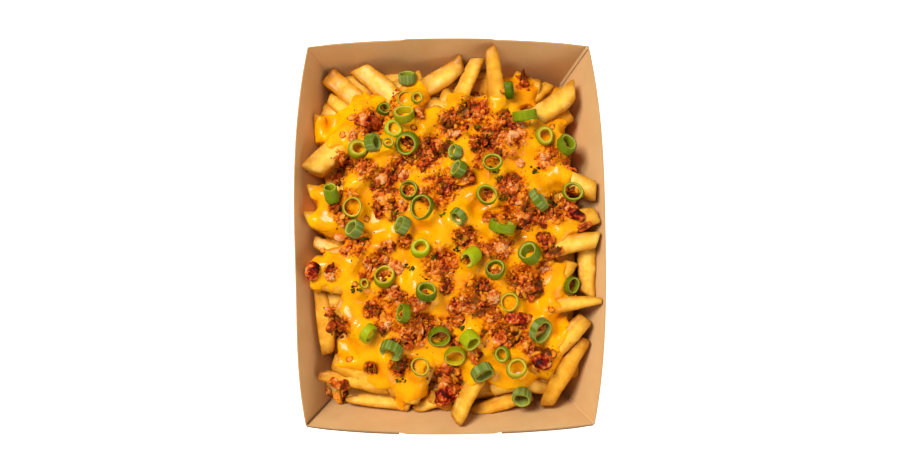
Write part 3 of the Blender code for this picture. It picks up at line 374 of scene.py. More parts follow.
# Specks: how many to a mm of a drift's radius, over how many radii; and those that lie loose.
SPECKS_A_MM = 1.5
SPECK_REACH = 2.7
LOOSE_SPECKS = 100
LOOSE_SPECK_FIELD = ((-58, 58), (-70, 68))

# Looks of the slices, by the number of their node. The others are "mid".
# On slices 14 and 33, which lie in shade, the dark look is partly painted shade.
SLICE_KINDS = {
    "dark": {5, 11, 12, 14, 17, 28, 29, 31, 32, 33, 37, 46},
    "bright": {4, 26, 27, 36, 45},
    "olive": {2, 3, 6, 9, 16, 30, 34, 38, 39, 42, 47, 48, 49},
    "streaked": {1, 7, 10, 13, 18, 19, 22, 25, 35, 40, 43, 44},
}
# Each look: skin, flesh, the light colour of the streaks, how much the streaks show.
PLAIN, WAXY = (0.42, 0.46, 0.015), (0.42, 0.48, 0.17)
ONIONS = {
    "dark": ((0.090, 0.130, 0.001), (0.18, 0.21, 0.002), PLAIN, 0.15),
    "mid": ((0.170, 0.220, 0.001), (0.32, 0.33, 0.003), PLAIN, 0.20),
    "bright": ((0.360, 0.400, 0.002), (0.56, 0.52, 0.008), PLAIN, 0.20),
    "olive": ((0.270, 0.240, 0.001), (0.60, 0.40, 0.003), PLAIN, 0.12),
    "streaked": ((0.120, 0.165, 0.002), (0.25, 0.28, 0.01), WAXY, 0.65),
}
# Slices with bacon in their hole, and how much wider than the hole the bacon is scattered.
SLICE_FILLED = {5, 8, 11, 13, 17, 21, 23, 25, 29, 30, 31, 32, 33, 35, 37, 43}
HOLE_FILL = 1.5
SLICE_STEPS = 64
SLICE_PROFILE = 12
# A slice's wall is a little thinner than the CAD node's where that is thicker than THIN_WALL.
THIN_WALL = 1 * MM
WALL_THINNED = 0.25
SLICE_UP = (0.3, 0.9, 0.1)


# Numbers and meshes


def waves(points, size, seed, count=8):
    """Smooth noise of about -1 to 1: sine waves near a size, in seeded random directions."""
    draw = np.random.default_rng(seed)
    ways = draw.normal(size=(count, 3))
    ways /= np.linalg.norm(ways, axis=1, keepdims=True)
    ways *= 2 * math.pi / size * draw.uniform(0.6, 1.6, (count, 1))
    phases = draw.uniform(0, 2 * math.pi, count)
    return np.sin(points @ ways.T + phases).sum(axis=1) / math.sqrt(count)


def level_waves(x, y, size, seed):
    """The same noise over the ground, at places given by their x and y."""
    flat = np.stack([x.ravel(), y.ravel(), 0 * x.ravel()], axis=1)
    return waves(flat, size, seed).reshape(x.shape)


def smooth_step(low, high, value):
    share = np.clip((value - low) / (high - low), 0, 1)
    return share * share * (3 - 2 * share)


def soft_ring(draw, count, share):
    """Random numbers round a ring, each with a share of both its neighbours in it."""
    values = np.array([draw.random() for _ in range(count)])
    return share * np.roll(values, 1) + (1 - 2 * share) * values + share * np.roll(values, -1)


def add_object(name, data):
    made = bpy.data.objects.new(name, data)
    bpy.context.scene.collection.objects.link(made)
    return made


def mesh_of(shape, name):
    """A bmesh turned into a mesh."""
    mesh = bpy.data.meshes.new(name)
    shape.to_mesh(mesh)
    shape.free()
    return mesh


def modify(piece, kind, **settings):
    modifier = piece.modifiers.new(kind.lower(), kind)
    for name, value in settings.items():
        setattr(modifier, name, value)


def make_piece(name, points, blocks, look, numbers=None):
    """An object from points, blocks of triangles or quads, and numbers for each vertex."""
    mesh = bpy.data.meshes.new(name)
    corners = np.concatenate([block.ravel() for block in blocks]).astype(np.int32)
    totals = np.concatenate([np.full(len(block), block.shape[1]) for block in blocks])
    starts = np.concatenate([[0], np.cumsum(totals)[:-1]]).astype(np.int32)
    mesh.vertices.add(len(points))
    mesh.vertices.foreach_set("co", np.asarray(points, np.float32).ravel())
    mesh.loops.add(len(corners))
    mesh.loops.foreach_set("vertex_index", corners)
    mesh.polygons.add(len(totals))
    mesh.polygons.foreach_set("loop_start", starts)
    mesh.polygons.foreach_set("use_smooth", np.ones(len(totals), bool))
    mesh.update(calc_edges=True)
    for key, values in (numbers or {}).items():
        attribute = mesh.attributes.new(key, "FLOAT", "POINT")
        attribute.data.foreach_set("value", np.asarray(values, np.float32))
    mesh.materials.append(look)
    return add_object(name, mesh)


class Pile:
    """Many small shapes gathered into one piece, with numbers per vertex for its material."""

    def __init__(self):
        self.points = []
        self.blocks = []
        self.numbers = {}
        self.count = 0

    def add(self, points, blocks, **numbers):
        self.points.append(points)
        self.blocks.extend(block + self.count for block in blocks)
        for name, value in numbers.items():
            self.numbers.setdefault(name, []).append(np.broadcast_to(value, len(points)))
        self.count += len(points)

    def join(self, *piles):
        for pile in piles:
            self.add(np.concatenate(pile.points), pile.blocks)
        return self

    def piece(self, name, look):
        numbers = {key: np.concatenate(values) for key, values in self.numbers.items()}
        return make_piece(name, np.concatenate(self.points), self.blocks, look, numbers)

    def tree(self):
        points = np.concatenate(self.points).tolist()
        faces = [face for block in self.blocks for face in block.tolist()]
        return BVHTree.FromPolygons(points, faces)


def points_of(mesh):
    points = np.empty(len(mesh.vertices) * 3, np.float32)
    mesh.vertices.foreach_get("co", points)
    return points.reshape(-1, 3).astype(float)


def mesh_arrays(mesh):
    """A mesh's points, and its triangles."""
    mesh.calc_loop_triangles()
    triangles = np.empty(len(mesh.loop_triangles) * 3, np.int32)
    mesh.loop_triangles.foreach_get("vertices", triangles)
    return points_of(mesh), triangles.reshape(-1, 3)


def evaluated(piece):
    """The mesh that a piece's modifiers make."""
    graph = bpy.context.evaluated_depsgraph_get()
    return bpy.data.meshes.new_from_object(piece.evaluated_get(graph), depsgraph=graph)


def used_up(draft):
    """What a draft's modifiers make, as points and triangles; the draft is removed."""
    mesh = evaluated(draft)
    arrays = mesh_arrays(mesh)
    bpy.data.meshes.remove(mesh)
    bpy.data.objects.remove(draft)
    return arrays


def ball(subdivisions):
    """A unit icosphere as points and triangles."""
    shape = bmesh.new()
    bmesh.ops.create_icosphere(shape, subdivisions=subdivisions, radius=1)
    points = np.array([vert.co for vert in shape.verts])
    triangles = np.array([[vert.index for vert in face.verts] for face in shape.faces])
    shape.free()
    return points, triangles


def ring_blocks(rings, around, closed=False):
    """Quads between successive rings of points, and from the last to the first if closed."""
    row = np.arange(around)
    turned = (row + 1) % around
    starts = np.arange(rings if closed else rings - 1) * around
    following = (starts + around) % (rings * around)
    quads = [
        np.stack([a + row, a + turned, b + turned, b + row], axis=1)
        for a, b in zip(starts, following)
    ]
    return np.concatenate(quads)


def capped_blocks(rings, around):
    """Quads between rings of points, and triangles to two middle points that come after them."""
    row = np.arange(around)
    turned = (row + 1) % around
    last = (rings - 1) * around
    middle = np.full(around, rings * around)
    first_cap = np.stack([turned, row, middle], axis=1)
    last_cap = np.stack([last + row, last + turned, middle + 1], axis=1)
    return [ring_blocks(rings, around), first_cap, last_cap]


def frame_of(along, up=(0, 0, 1)):
    """A rotation whose rows are a direction, a level one across it, and the one across both."""
    along = np.asarray(along, float)
    along = along / np.linalg.norm(along)
    side = np.cross(up, along)
    side /= np.linalg.norm(side)
    return np.array([along, side, np.cross(along, side)])


def on_sight_line(x, y, z):
    """The point at height z that the eye sees at x, y mm on the rim's plane."""
    on_rim = Vector((x * MM, y * MM, TRAY_HEIGHT))
    return EYE + (on_rim - EYE) * ((EYE.z - z) / (EYE.z - TRAY_HEIGHT))


# Materials


class Look:
    """A Principled material, put together node by node."""

    def __init__(self, name, **sockets):
        self.material = bpy.data.materials.new(name)
        self.material.use_nodes = True
        self.tree = self.material.node_tree
        self.shader = self.tree.nodes["Principled BSDF"]
        self.relief = None
        self.set(**sockets)

    def fill(self, socket, value):
        if isinstance(value, bpy.types.NodeSocket):
            self.tree.links.new(value, socket)
        elif socket.type == "RGBA":
            socket.default_value = (*value, 1)
        else:
            socket.default_value = value

    def set(self, **sockets):
        """Gives sockets of the shader a value, or another node's output."""
        for key, value in sockets.items():
            name = key.replace("_", " ").title().replace("Ior", "IOR")
            self.fill(self.shader.inputs[name], value)

    def node(self, kind, inputs, **settings):
        node = self.tree.nodes.new(kind)
        for name, value in settings.items():
            setattr(node, name, value)
        for name, value in inputs.items():
            self.fill(node.inputs[name], value)
        return node

    def number(self, name):
        """A number that the piece has for each vertex."""
        return self.node("ShaderNodeAttribute", {}, attribute_name=name).outputs["Fac"]

    def noise(self, size, detail=3, roughness=0.55, stretch=None):
        """Noise from 0 to 1 whose blotches are about a size in metres."""
        place = self.node("ShaderNodeTexCoord", {}).outputs["Object"]
        if stretch:
            inputs = {"Vector": place, "Scale": stretch}
            place = self.node("ShaderNodeMapping", inputs).outputs["Vector"]
        inputs = {"Vector": place, "Scale": 1 / size, "Detail": detail, "Roughness": roughness}
        return self.node("ShaderNodeTexNoise", inputs).outputs["Fac"]

    def ramp(self, value, *stops):
        """Colours, or greys given as numbers, at positions from 0 to 1."""
        node = self.node("ShaderNodeValToRGB", {"Fac": value})
        elements = node.color_ramp.elements
        while len(elements) < len(stops):
            elements.new(1)
        for element, (position, colour) in zip(elements, stops):
            element.position = position
            plain = (colour,) * 3 if isinstance(colour, (int, float)) else colour
            element.color = (*plain, 1)
        return node.outputs["Color"]

    def mix(self, share, first, second, blend="MIX"):
        inputs = {0: share, 6: first, 7: second}
        return self.node("ShaderNodeMix", inputs, data_type="RGBA", blend_type=blend).outputs[2]

    def maths(self, operation, first, second, clamp=False):
        inputs = {0: first, 1: second}
        node = self.node("ShaderNodeMath", inputs, operation=operation, use_clamp=clamp)
        return node.outputs[0]

    def times(self, first, second):
        return self.maths("MULTIPLY", first, second)

    def bump(self, height, depth, strength=1.0):
        """Adds relief of a depth in metres, over any relief that is there."""
        inputs = {"Height": height, "Distance": depth, "Strength": strength}
        if self.relief:
            inputs["Normal"] = self.relief
        self.relief = self.node("ShaderNodeBump", inputs).outputs["Normal"]
        self.set(normal=self.relief)

    def blotches(self):
        """Patches of a tone and finer ones in them, about 0, the same for crumbs and sauce."""
        broad = self.maths("SUBTRACT", self.noise(5 * MM, 2), 0.5)
        fine = self.maths("SUBTRACT", self.noise(1.7 * MM, 4, 0.65), 0.5)
        return self.maths("ADD", self.times(broad, 2.4), self.times(fine, 1.8))


def kraft_look(name, shift, towards=(0.84, 0.62, 0.36)):
    """Kraft board: faintly cloudy, long fibres and a few dark flecks; other hues where cut,
    and hues shifted darker for painted shade and paler for a painted highlight.
    """
    look = Look(name, roughness=0.6, specular_ior_level=0.2)
    fibres = look.noise(1.6 * MM, 4, 0.6, (1, 5, 5))
    flecks = look.noise(0.9 * MM, 2, stretch=(1, 3, 3))
    cloud = look.noise(14 * MM, 4)
    base = look.ramp(cloud, (0.3, (0.64, 0.365, 0.140)), (0.7, (0.71, 0.420, 0.178)))
    base = look.mix(look.ramp(fibres, (0.35, 0.0), (0.75, 0.30)), base, (0.76, 0.48, 0.21))
    base = look.mix(look.ramp(flecks, (0.66, 0.0), (0.74, 0.35)), base, (0.36, 0.17, 0.06))
    look.set(base_color=look.mix(shift, base, towards))
    look.bump(fibres, 0.05 * MM, 0.6)
    return look.material


def potato_look():
    """Fried potato: gold flats, browner ridges and ends, blisters and a film of oil."""
    look = Look(
        "fried_potato",
        roughness=0.4,
        subsurface_weight=0.05,
        subsurface_scale=1.0 * MM,
        subsurface_radius=(1.0, 0.45, 0.1),
        specular_ior_level=0.12,
        coat_weight=0.10,
        coat_roughness=0.2,
    )
    patches = look.noise(5 * MM, 4, 0.6)
    grain = look.noise(1.1 * MM, 3, 0.6)
    blisters = look.noise(2.2 * MM, 2)
    fibre = look.number("fibre")
    uneven = look.maths("ADD", look.times(patches, 1.1), look.number("tone"))
    gold = look.ramp(
        look.maths("ADD", uneven, look.times(fibre, 0.16)),
        (0.22, (0.96, 0.63, 0.120)),
        (0.50, (0.92, 0.50, 0.045)),
        (0.95, (0.72, 0.28, 0.008)),
    )
    gold = look.mix(look.ramp(grain, (0.45, 0.0), (0.8, 0.3)), gold, (0.80, 0.28, 0.008))
    ridge = look.times(look.number("edge"), look.ramp(patches, (0.3, 0.45), (0.55, 1.0)))
    gold = look.mix(look.maths("MINIMUM", ridge, 1), gold, (0.56, 0.200, 0.004))
    gold = look.mix(look.ramp(blisters, (0.63, 0.0), (0.77, 0.45)), gold, (0.55, 0.19, 0.006))
    ends = look.times(look.number("brown"), look.ramp(blisters, (0.3, 0.8), (0.55, 1.3)))
    look.set(base_color=look.mix(look.maths("MINIMUM", ends, 1), gold, (0.34, 0.10, 0.005)))
    look.bump(blisters, 0.22 * MM, 0.7)
    look.bump(fibre, 0.10 * MM, 0.6)
    look.bump(grain, 0.06 * MM, 0.6)
    return look.material


def core_look():
    """The fries deep in the heap: gold darkened as painted shade, in blotches."""
    look = Look("deep_potato_painted_shade", roughness=0.5)
    patches = look.noise(4 * MM, 4)
    # Painted shade: a darker gold than the fries above stands for the shade of the deep gaps.
    look.set(base_color=look.ramp(patches, (0.3, (0.30, 0.11, 0.012)), (0.7, (0.62, 0.30, 0.04))))
    look.bump(patches, 1 * MM)
    return look.material


def cheese_look():
    """Cheese sauce: glossy yellow orange, and grainy rust where bacon crumbs have soaked in."""
    look = Look(
        "cheese_sauce",
        subsurface_weight=0.25,
        subsurface_scale=1.6 * MM,
        subsurface_radius=(1.0, 0.45, 0.05),
        specular_ior_level=0.04,
        coat_roughness=0.11,
    )
    stained = look.number("stain")
    mottle = look.noise(1.6 * MM, 4, 0.65)
    clean = look.ramp(look.noise(9 * MM, 3), (0.3, (0.84, 0.265, 0.0)), (0.6, (0.96, 0.405, 0.0)))
    stain = look.times(stained, look.ramp(mottle, (0.30, 0.5), (0.50, 1.0)))
    mash = look.ramp(
        look.maths("ADD", look.blotches(), 0.5, clamp=True),
        (0.0, (0.06, 0.003, 0.0)),
        (0.2, (0.22, 0.012, 0.0)),
        (0.4, (0.44, 0.055, 0.0)),
        (0.6, (0.66, 0.145, 0.002)),
        (0.8, (0.82, 0.250, 0.004)),
        (1.0, (0.92, 0.330, 0.010)),
    )
    look.set(
        base_color=look.mix(stain, clean, mash),
        roughness=look.ramp(stain, (0.0, 0.30), (1.0, 0.48)),
        coat_weight=look.ramp(stained, (0.0, 0.30), (0.5, 0.03)),
    )
    look.bump(look.noise(4.5 * MM, 2), 0.5 * MM, 0.6)
    look.bump(look.times(mottle, stained), 0.9 * MM, 0.8)
    return look.material


def bacon_look():
    """Bacon by tone: charred, dark red, rust and tan fat, some of it coated in sauce."""
    look = Look(
        "crisp_bacon",
        roughness=0.45,
        subsurface_weight=0.12,
        subsurface_scale=0.8 * MM,
        subsurface_radius=(1.0, 0.3, 0.1),
        specular_ior_level=0.06,
        coat_weight=0.08,
        coat_roughness=0.2,
    )
    patches = look.noise(2.4 * MM, 5, 0.68)
    meat = look.ramp(
        look.maths("ADD", look.number("tone"), look.blotches(), clamp=True),
        (0.0, (0.035, 0.002, 0.0)),
        (0.2, (0.18, 0.005, 0.001)),
        (0.4, (0.40, 0.027, 0.003)),
        (0.6, (0.60, 0.105, 0.008)),
        (0.8, (0.68, 0.220, 0.035)),
        (1.0, (0.74, 0.370, 0.150)),
    )
    coat = look.times(look.number("coated"), look.ramp(patches, (0.35, 1.0), (0.6, 0.6)))
    look.set(base_color=look.mix(coat, meat, (0.92, 0.33, 0.010)))
    look.bump(patches, 0.5 * MM, 0.8)
    look.bump(look.noise(0.5 * MM, 2), 0.18 * MM, 0.7)
    return look.material


def herb_look():
    """Scraps of dark green leaf and char."""
    look = Look("dark_herb", roughness=0.5, specular_ior_level=0.08)
    stops = (0.0, (0.020, 0.008, 0.003)), (0.5, (0.055, 0.050, 0.002)), (1.0, (0.15, 0.17, 0.004))
    look.set(base_color=look.ramp(look.number("tone"), *stops))
    return look.material


def blend_of(first, second, share):
    """A colour between two, the second's share of it given."""
    return tuple((1 - share) * a + share * b for a, b in zip(first, second))


def onion_look(name, skin, flesh, light, streaks):
    """Spring onion: green, paler on one side, faintly streaked, and cream on the cut's edge."""
    look = Look(
        name,
        roughness=0.38,
        subsurface_weight=0.15,
        subsurface_scale=0.8 * MM,
        subsurface_radius=(0.6, 1.0, 0.1),
        specular_ior_level=0.06,
        coat_weight=0.04,
        coat_roughness=0.25,
    )
    pale = blend_of(skin, light, 0.65)
    cream = blend_of(flesh, (0.72, 0.60, 0.12), 0.7)
    across = look.ramp(look.number("across"), (0.15, 0.0), (0.8, 1.0))
    green = look.mix(across, flesh, skin)
    green = look.mix(look.times(look.number("side"), 0.3), green, pale)
    green = look.mix(look.times(look.number("streak"), streaks), green, pale)
    green = look.mix(look.times(look.number("cut"), 0.8), green, cream)
    shade = look.ramp(look.noise(2.5 * MM, 3), (0.3, 0.78), (0.7, 1.0))
    look.set(base_color=look.mix(1.0, green, shade, "MULTIPLY"))
    look.bump(look.number("streak"), 0.08 * MM, 0.5)
    return look.material


def floor_look():
    """A pale floor that is a little brighter than its light alone would make it."""
    look = Look(
        "pale_floor",
        base_color=(0.93, 0.93, 0.93),
        roughness=0.8,
        emission_color=(1, 1, 1),
        emission_strength=FLOOR_GLOW,
    )
    return look.material


# The tray


def wall_half(axis, sign, height, along):
    """How far a wall's inner face is from the middle plane, at a height and a share along it."""
    rise = np.minimum(height / TRAY_HEIGHT, 1)
    along = np.clip(along, -1, 1)
    bow = BOW[axis][sign] * (1 - np.abs(along) ** BOW_POWER[axis])
    if axis == 0 and sign < 0:
        away = (along - WEST_SAG_PLACE) / WEST_SAG_SPREAD
        bow = bow - WEST_SAG * (1 - along**2) * np.exp(-(away**2))
    return corner_half(axis, height) + bow * rise


def corner_half(axis, height):
    """How far a wall's end is from the middle plane, at a height."""
    rise = height / TRAY_HEIGHT
    return FOOT_HALF[axis] + (RIM_HALF[axis] - FOOT_HALF[axis]) * rise


def press_inside(piece):
    """Presses what would pass through the board flat against its inside."""
    points = points_of(piece.data)
    points[:, 2] = np.maximum(points[:, 2], BOARD + WALL_GAP)
    height = np.minimum(points[:, 2], TRAY_HEIGHT)
    for axis in (0, 1, 0):
        along = points[:, 1 - axis] / corner_half(1 - axis, height)
        for sign in (-1, 1):
            limit = wall_half(axis, sign, height, along) - WALL_GAP
            points[:, axis] = sign * np.minimum(sign * points[:, axis], limit)
    piece.data.vertices.foreach_set("co", points.astype(np.float32).ravel())
    piece.data.update()


def tray_outline(height, inset=0.0):
    """The tray's inner outline at a height, as points round it."""
    points = []
    for side in range(4):
        axis = side % 2
        sign = 1 if side < 2 else -1
        for step in range(WALL_STEPS):
            along = (1 if axis == 0 else -1) * sign * (-1 + 2 * step / WALL_STEPS)
            out = sign * (wall_half(axis, sign, height, along) - inset)
            travel = along * (corner_half(1 - axis, height) - inset)
            points.append((out, travel) if axis == 0 else (travel, out))
    return points


def tab_share(x):
    """How far a place on a short wall is within its free middle, between the glued flaps."""
    return smooth_step(-FLAP_INNER_END, -FLAP_INNER_END + TAB_BLEND, -abs(x))


def join_rows(shape, rows, closed=False):
    """Quads between successive rows of corners in a bmesh."""
    count = len(rows[0])
    for lower, upper in zip(rows, rows[1:]):
        for i in range(count if closed else count - 1):
            j = (i + 1) % count
            shape.faces.new((lower[i], lower[j], upper[j], upper[i]))


def build_tray(look, edge_look):
    """Foot and walls as one folded sheet of board, with soft folds and pale cut edges."""
    shape = bmesh.new()
    rows = []
    for level in range(WALL_LEVELS + 1):
        height = BOARD + (TRAY_HEIGHT - BOARD) * level / WALL_LEVELS
        share = (level / WALL_LEVELS) ** 3
        row = []
        for x, y in tray_outline(height if level else 0):
            short_wall = abs(y) > FOOT_HALF[1]
            tab = tab_share(x) * share if short_wall else 0
            lean = math.copysign(TAB_LEAN[1 if y > 0 else -1] * tab, y)
            row.append(shape.verts.new((x, y + lean, height + TAB_RISE * tab)))
        rows.append(row)
    join_rows(shape, rows, closed=True)
    shape.faces.new(rows[0][::-1])
    creases = [
        edge
        for edge in shape.edges
        if len(edge.link_faces) == 2 and edge.calc_face_angle() > CREASE
    ]
    bmesh.ops.bevel(shape, geom=creases, offset=FOLD_RADIUS, segments=3, affect="EDGES")
    bmesh.ops.recalc_face_normals(shape, faces=shape.faces[:])
    return board_piece("tray_board", shape, look, edge_look)


def board_piece(name, shape, look, edge_look, side=1):
    """A sheet made into board, its thickness on the outer or inner side, its cut edges apart."""
    draft = mesh_of(shape, name)
    draft.shade_smooth()
    draft.materials.append(look)
    draft.materials.append(edge_look)
    piece = add_object(name, draft)
    modify(
        piece,
        "SOLIDIFY",
        thickness=BOARD,
        offset=side,
        use_even_offset=True,
        material_offset_rim=1,
    )
    made = evaluated(piece)
    made.set_sharp_from_angle(angle=SHARP_FOLD)
    piece.modifiers.clear()
    piece.data = made
    bpy.data.meshes.remove(draft)
    made.name = name
    return piece


def build_flap(end, side, look, edge_look):
    """A corner flap glued outside a short wall, standing off a little at the rim."""
    shape = bmesh.new()
    rows = []
    for level in range(FLAP_LEVELS + 1):
        share = level / FLAP_LEVELS
        height = FLAP_FOOT + (TRAY_HEIGHT - FLAP_DROP[end] - FLAP_FOOT) * share
        width = corner_half(0, height)
        inner = FLAP_INNER_END + FLAP_SLANT * (1 - share)
        gap = FLAP_REST + FLAP_GAP[end] * share**3
        row = []
        for step in range(FLAP_STEPS + 1):
            x = inner + (width - inner) * step / FLAP_STEPS
            near_corner = smooth_step(0.75, 1, step / FLAP_STEPS)
            y = wall_half(1, end, height, x / width) + BOARD + gap * (1 - near_corner)
            row.append(shape.verts.new((side * x, end * y, height)))
        rows.append(row)
    join_rows(shape, rows)
    shape.normal_update()
    if next(iter(shape.faces)).normal.y * end <= 0:
        bmesh.ops.reverse_faces(shape, faces=shape.faces[:])
    where = ("far" if end > 0 else "near") + ("_right" if side > 0 else "_left")
    return board_piece(f"tray_flap_{where}", shape, look, edge_look)


def build_seam(name, corner, width, inset, low, look):
    """A narrow strip of board down the inside of a corner, from the rim to a height."""
    shape = bmesh.new()
    across = Vector((-corner[1], corner[0], 0)).normalized() * width / 2
    inward = Vector((-corner[0], -corner[1], 0)).normalized() * inset
    rows = []
    for level in range(WALL_LEVELS + 1):
        height = low + (TRAY_HEIGHT - low) * level / WALL_LEVELS
        x, y = (corner[axis] * corner_half(axis, height) for axis in (0, 1))
        middle = Vector((x, y, height)) + inward
        rows.append([shape.verts.new(middle + across * side) for side in (-1, 1)])
    join_rows(shape, rows)
    return board_piece(name, shape, look, look, -1)


# The fries


def bed_height(x, y):
    """The height of the top of the fries at a place."""
    across = np.where(x < 0, BED_FALL["west"], BED_FALL["east"]) * np.abs(x / BED_REACH[0]) ** 3
    along = np.where(y < 0, BED_FALL["south"], BED_FALL["north"]) * np.abs(y / BED_REACH[1]) ** 3
    return np.maximum(BED_CENTRE - across - along, BED_LOWEST)


def fry_ends(row):
    """The two ends of a fry's axis from a row; the end under the sauce is bedded in the core."""
    outer = on_sight_line(*row[:2], row[2] * MM)
    inner = on_sight_line(*row[3:5], row[5] * MM)
    bare = row[7] if len(row) > 7 else 0
    if bare * MM < FREE_SHARE * (inner - outer).length:
        bedded = float(bed_height(inner.x, inner.y)) - CORE_DROP + BEDDING
        inner.z = min(inner.z, bedded)
    return outer, inner


def lying_ends(draw, x, y, heading, sink):
    """The ends and width of a fry that lies on the bed, its ends sunk below the bed's top."""
    length = draw.uniform(*FRY_LENGTHS)
    width = draw.uniform(*FRY_WIDTHS)
    half = Vector((math.cos(heading), math.sin(heading), 0)) * length / 2
    ends = []
    for end in (Vector((x, y, 0)) - half, Vector((x, y, 0)) + half):
        end /= max(abs(end.x) / BED_REACH[0], abs(end.y) / BED_REACH[1], 1)
        end.z = float(bed_height(end.x, end.y)) - sink
        ends.append(end)
    return ends[0], ends[1], width


def loose_fries():
    """Fries of the upper layer, under the sauce, at the seeded places of the CAD model."""
    draw = random.Random(FRY_SEED)
    made = []
    for _ in range(LOOSE_FRIES):
        x = draw.uniform(-1, 1) * LOOSE_FRY_REACH[0]
        y = draw.uniform(-1, 1) * LOOSE_FRY_REACH[1]
        made.append(lying_ends(draw, x, y, draw.uniform(0, math.pi), LOOSE_FRY_SINK))
    return made


def edge_fries(count, reach, sink, seed):
    """Fries of a lower layer along the walls, seen in the gaps of the upper one."""
    draw = random.Random(seed)
    made = []
    for i in range(count):
        turn = math.tau * (i + draw.uniform(-0.3, 0.3)) / count
        along_y = abs(math.cos(turn)) > abs(math.sin(turn))
        square = max(abs(math.cos(turn)), abs(math.sin(turn)))
        x = reach[0] * BED_REACH[0] * math.cos(turn) / square
        y = reach[1] * BED_REACH[1] * math.sin(turn) / square
        heading = draw.uniform(-0.5, 0.5) + (math.pi / 2 if along_y else 0)
        made.append(lying_ends(draw, x, y, heading, sink))
    return made


def off_the_wall(end):
    """An end moved in, where it has to be, to keep clear of the walls."""
    moved = end.copy()
    for axis in (0, 1):
        most = corner_half(axis, end.z) - UNDER_FRY_MARGIN
        moved[axis] = max(-most, min(most, end[axis]))
    return moved


def fry_thickness(from_outer, from_inner, width, point, free):
    """How thick a fry is along its axis: blunt at both ends, and pointed where an end is free."""

    def blunt(distance):
        near = 1 - np.minimum(distance / (FRY_BLUNT * width), 1)
        return FRY_END + (1 - FRY_END) * (1 - near**2.4) ** (1 / 2.4)

    def pointed(distance):
        return 1 - point * (1 - np.minimum(distance / (FRY_TAPER * width), 1)) ** 1.5

    narrow = pointed(from_outer) * (pointed(from_inner) if free else 1)
    return blunt(from_outer) * blunt(from_inner) * narrow


def fry_section(sides, width):
    """Corners of a squarish, slightly hollow section, and how near each is to a ridge."""
    angle = math.tau * (np.arange(sides) + 0.5) / sides
    cos, sin = np.cos(angle), np.sin(angle)
    reach = (np.abs(cos) ** FRY_SQUARENESS + np.abs(sin) ** FRY_SQUARENESS) ** (-1 / FRY_SQUARENESS)
    reach *= 1 - FRY_HOLLOW * np.cos(2 * angle) ** 2
    ridge = np.maximum(np.sin(2 * angle) ** 4, 0.8 * cos**4)
    return reach * cos * width / 2, reach * sin * width * FRY_DEPTH / 2, ridge


def add_fry(
    pile, outer, inner, width, draw, fine=False, point=0.15, bend=0.0, brown=0.4, free=False
):
    """A cut potato stick: a section with ridged corners, along a bent, twisted axis."""
    steps, sides = FRY_GRID[fine]
    outer, inner = np.array(outer), np.array(inner)
    length = np.linalg.norm(inner - outer)
    even = np.linspace(0, 1, steps + 1)
    share = 0.55 * even + 0.45 * (0.5 - 0.5 * np.cos(math.pi * even))
    from_outer = share * length
    from_inner = (1 - share) * length
    scale = fry_thickness(from_outer, from_inner, width, point, free)
    scale *= 1 + 0.05 * np.sin(share * draw.uniform(2, 5) + draw.uniform(0, 6))

    across, deep, ridge = fry_section(sides, width)
    twist = np.radians(draw.uniform(-FRY_TWIST, FRY_TWIST)) * (share[:, None] - 0.5)
    y = (across * np.cos(twist) - deep * np.sin(twist)) * scale[:, None]
    z = (across * np.sin(twist) + deep * np.cos(twist)) * scale[:, None]
    slants = draw.uniform(-FRY_SLANT, FRY_SLANT), draw.uniform(-FRY_SLANT, FRY_SLANT)
    fibre = soft_ring(draw, sides, 0.25)
    fade = FRY_FADE * width
    x = np.repeat(from_outer[:, None], sides, axis=1)
    x = x + slants[0] * y * np.exp(-from_outer / fade)[:, None]
    x = x + slants[1] * y * np.exp(-from_inner / fade)[:, None]
    bow = 4 * share * (1 - share)
    y = y + bend * MM * bow[:, None]
    z = z + draw.uniform(-FRY_SAG, FRY_SAG) * bow[:, None]

    local = np.stack([x, y, z], axis=2).reshape(-1, 3)
    centre = np.stack([from_outer, bend * MM * bow, 0 * share], axis=1)
    away = local - np.repeat(centre, sides, axis=0)
    away /= np.linalg.norm(away, axis=1, keepdims=True) + 1e-9
    seed = draw.randrange(10**6)
    rough = sum(depth * waves(local, size, seed + k) for k, (depth, size) in enumerate(FRY_ROUGH))
    local = local + away * rough[:, None]
    caps = np.array([local[:sides].mean(axis=0), local[-sides:].mean(axis=0)])
    points = np.concatenate([local, caps]) @ frame_of(inner - outer) + outer

    tip = np.exp(-((np.minimum(from_outer, from_inner) / fade) ** 1.3)) * brown
    numbers = {
        "tone": draw.uniform(-0.25, 0.2),
        "edge": np.concatenate([np.tile(ridge, steps + 1), [0, 0]]),
        "fibre": np.concatenate([np.tile(fibre, steps + 1), [0.5, 0.5]]),
        "brown": np.concatenate([np.repeat(tip, sides), [brown * 0.7] * 2]),
    }
    pile.add(points, capped_blocks(steps + 1, sides), **numbers)


def build_fries(look):
    """All the fries in one piece, those that show made finer; and the pile that they form."""
    draw = random.Random(FRY_SEED + 5)
    pile = Pile()
    for row in BARE_FRIES:
        outer, inner = fry_ends(row)
        point, bend, brown = row[8:]
        free = row[7] * MM >= FREE_SHARE * (inner - outer).length
        add_fry(pile, outer, inner, row[6] * MM, draw, True, point, bend, brown, free)
    for row in COVERED_FRIES + DEEP_FRIES:
        outer, inner = fry_ends(row)
        add_fry(pile, outer, inner, row[6] * MM, draw)
    lower = loose_fries() + edge_fries(EDGE_FRIES, EDGE_FRY_REACH, EDGE_FRY_SINK, FRY_SEED + 1)
    for k, (count, reach, sink) in enumerate(UNDER_FRIES):
        for outer, inner, width in edge_fries(count, reach, sink, FRY_SEED + 2 + k):
            lower.append((off_the_wall(outer), off_the_wall(inner), width))
    for outer, inner, width in lower:
        add_fry(pile, outer, inner, width, draw, bend=draw.uniform(-1, 1))
    return pile.piece("potato_fries", look), pile


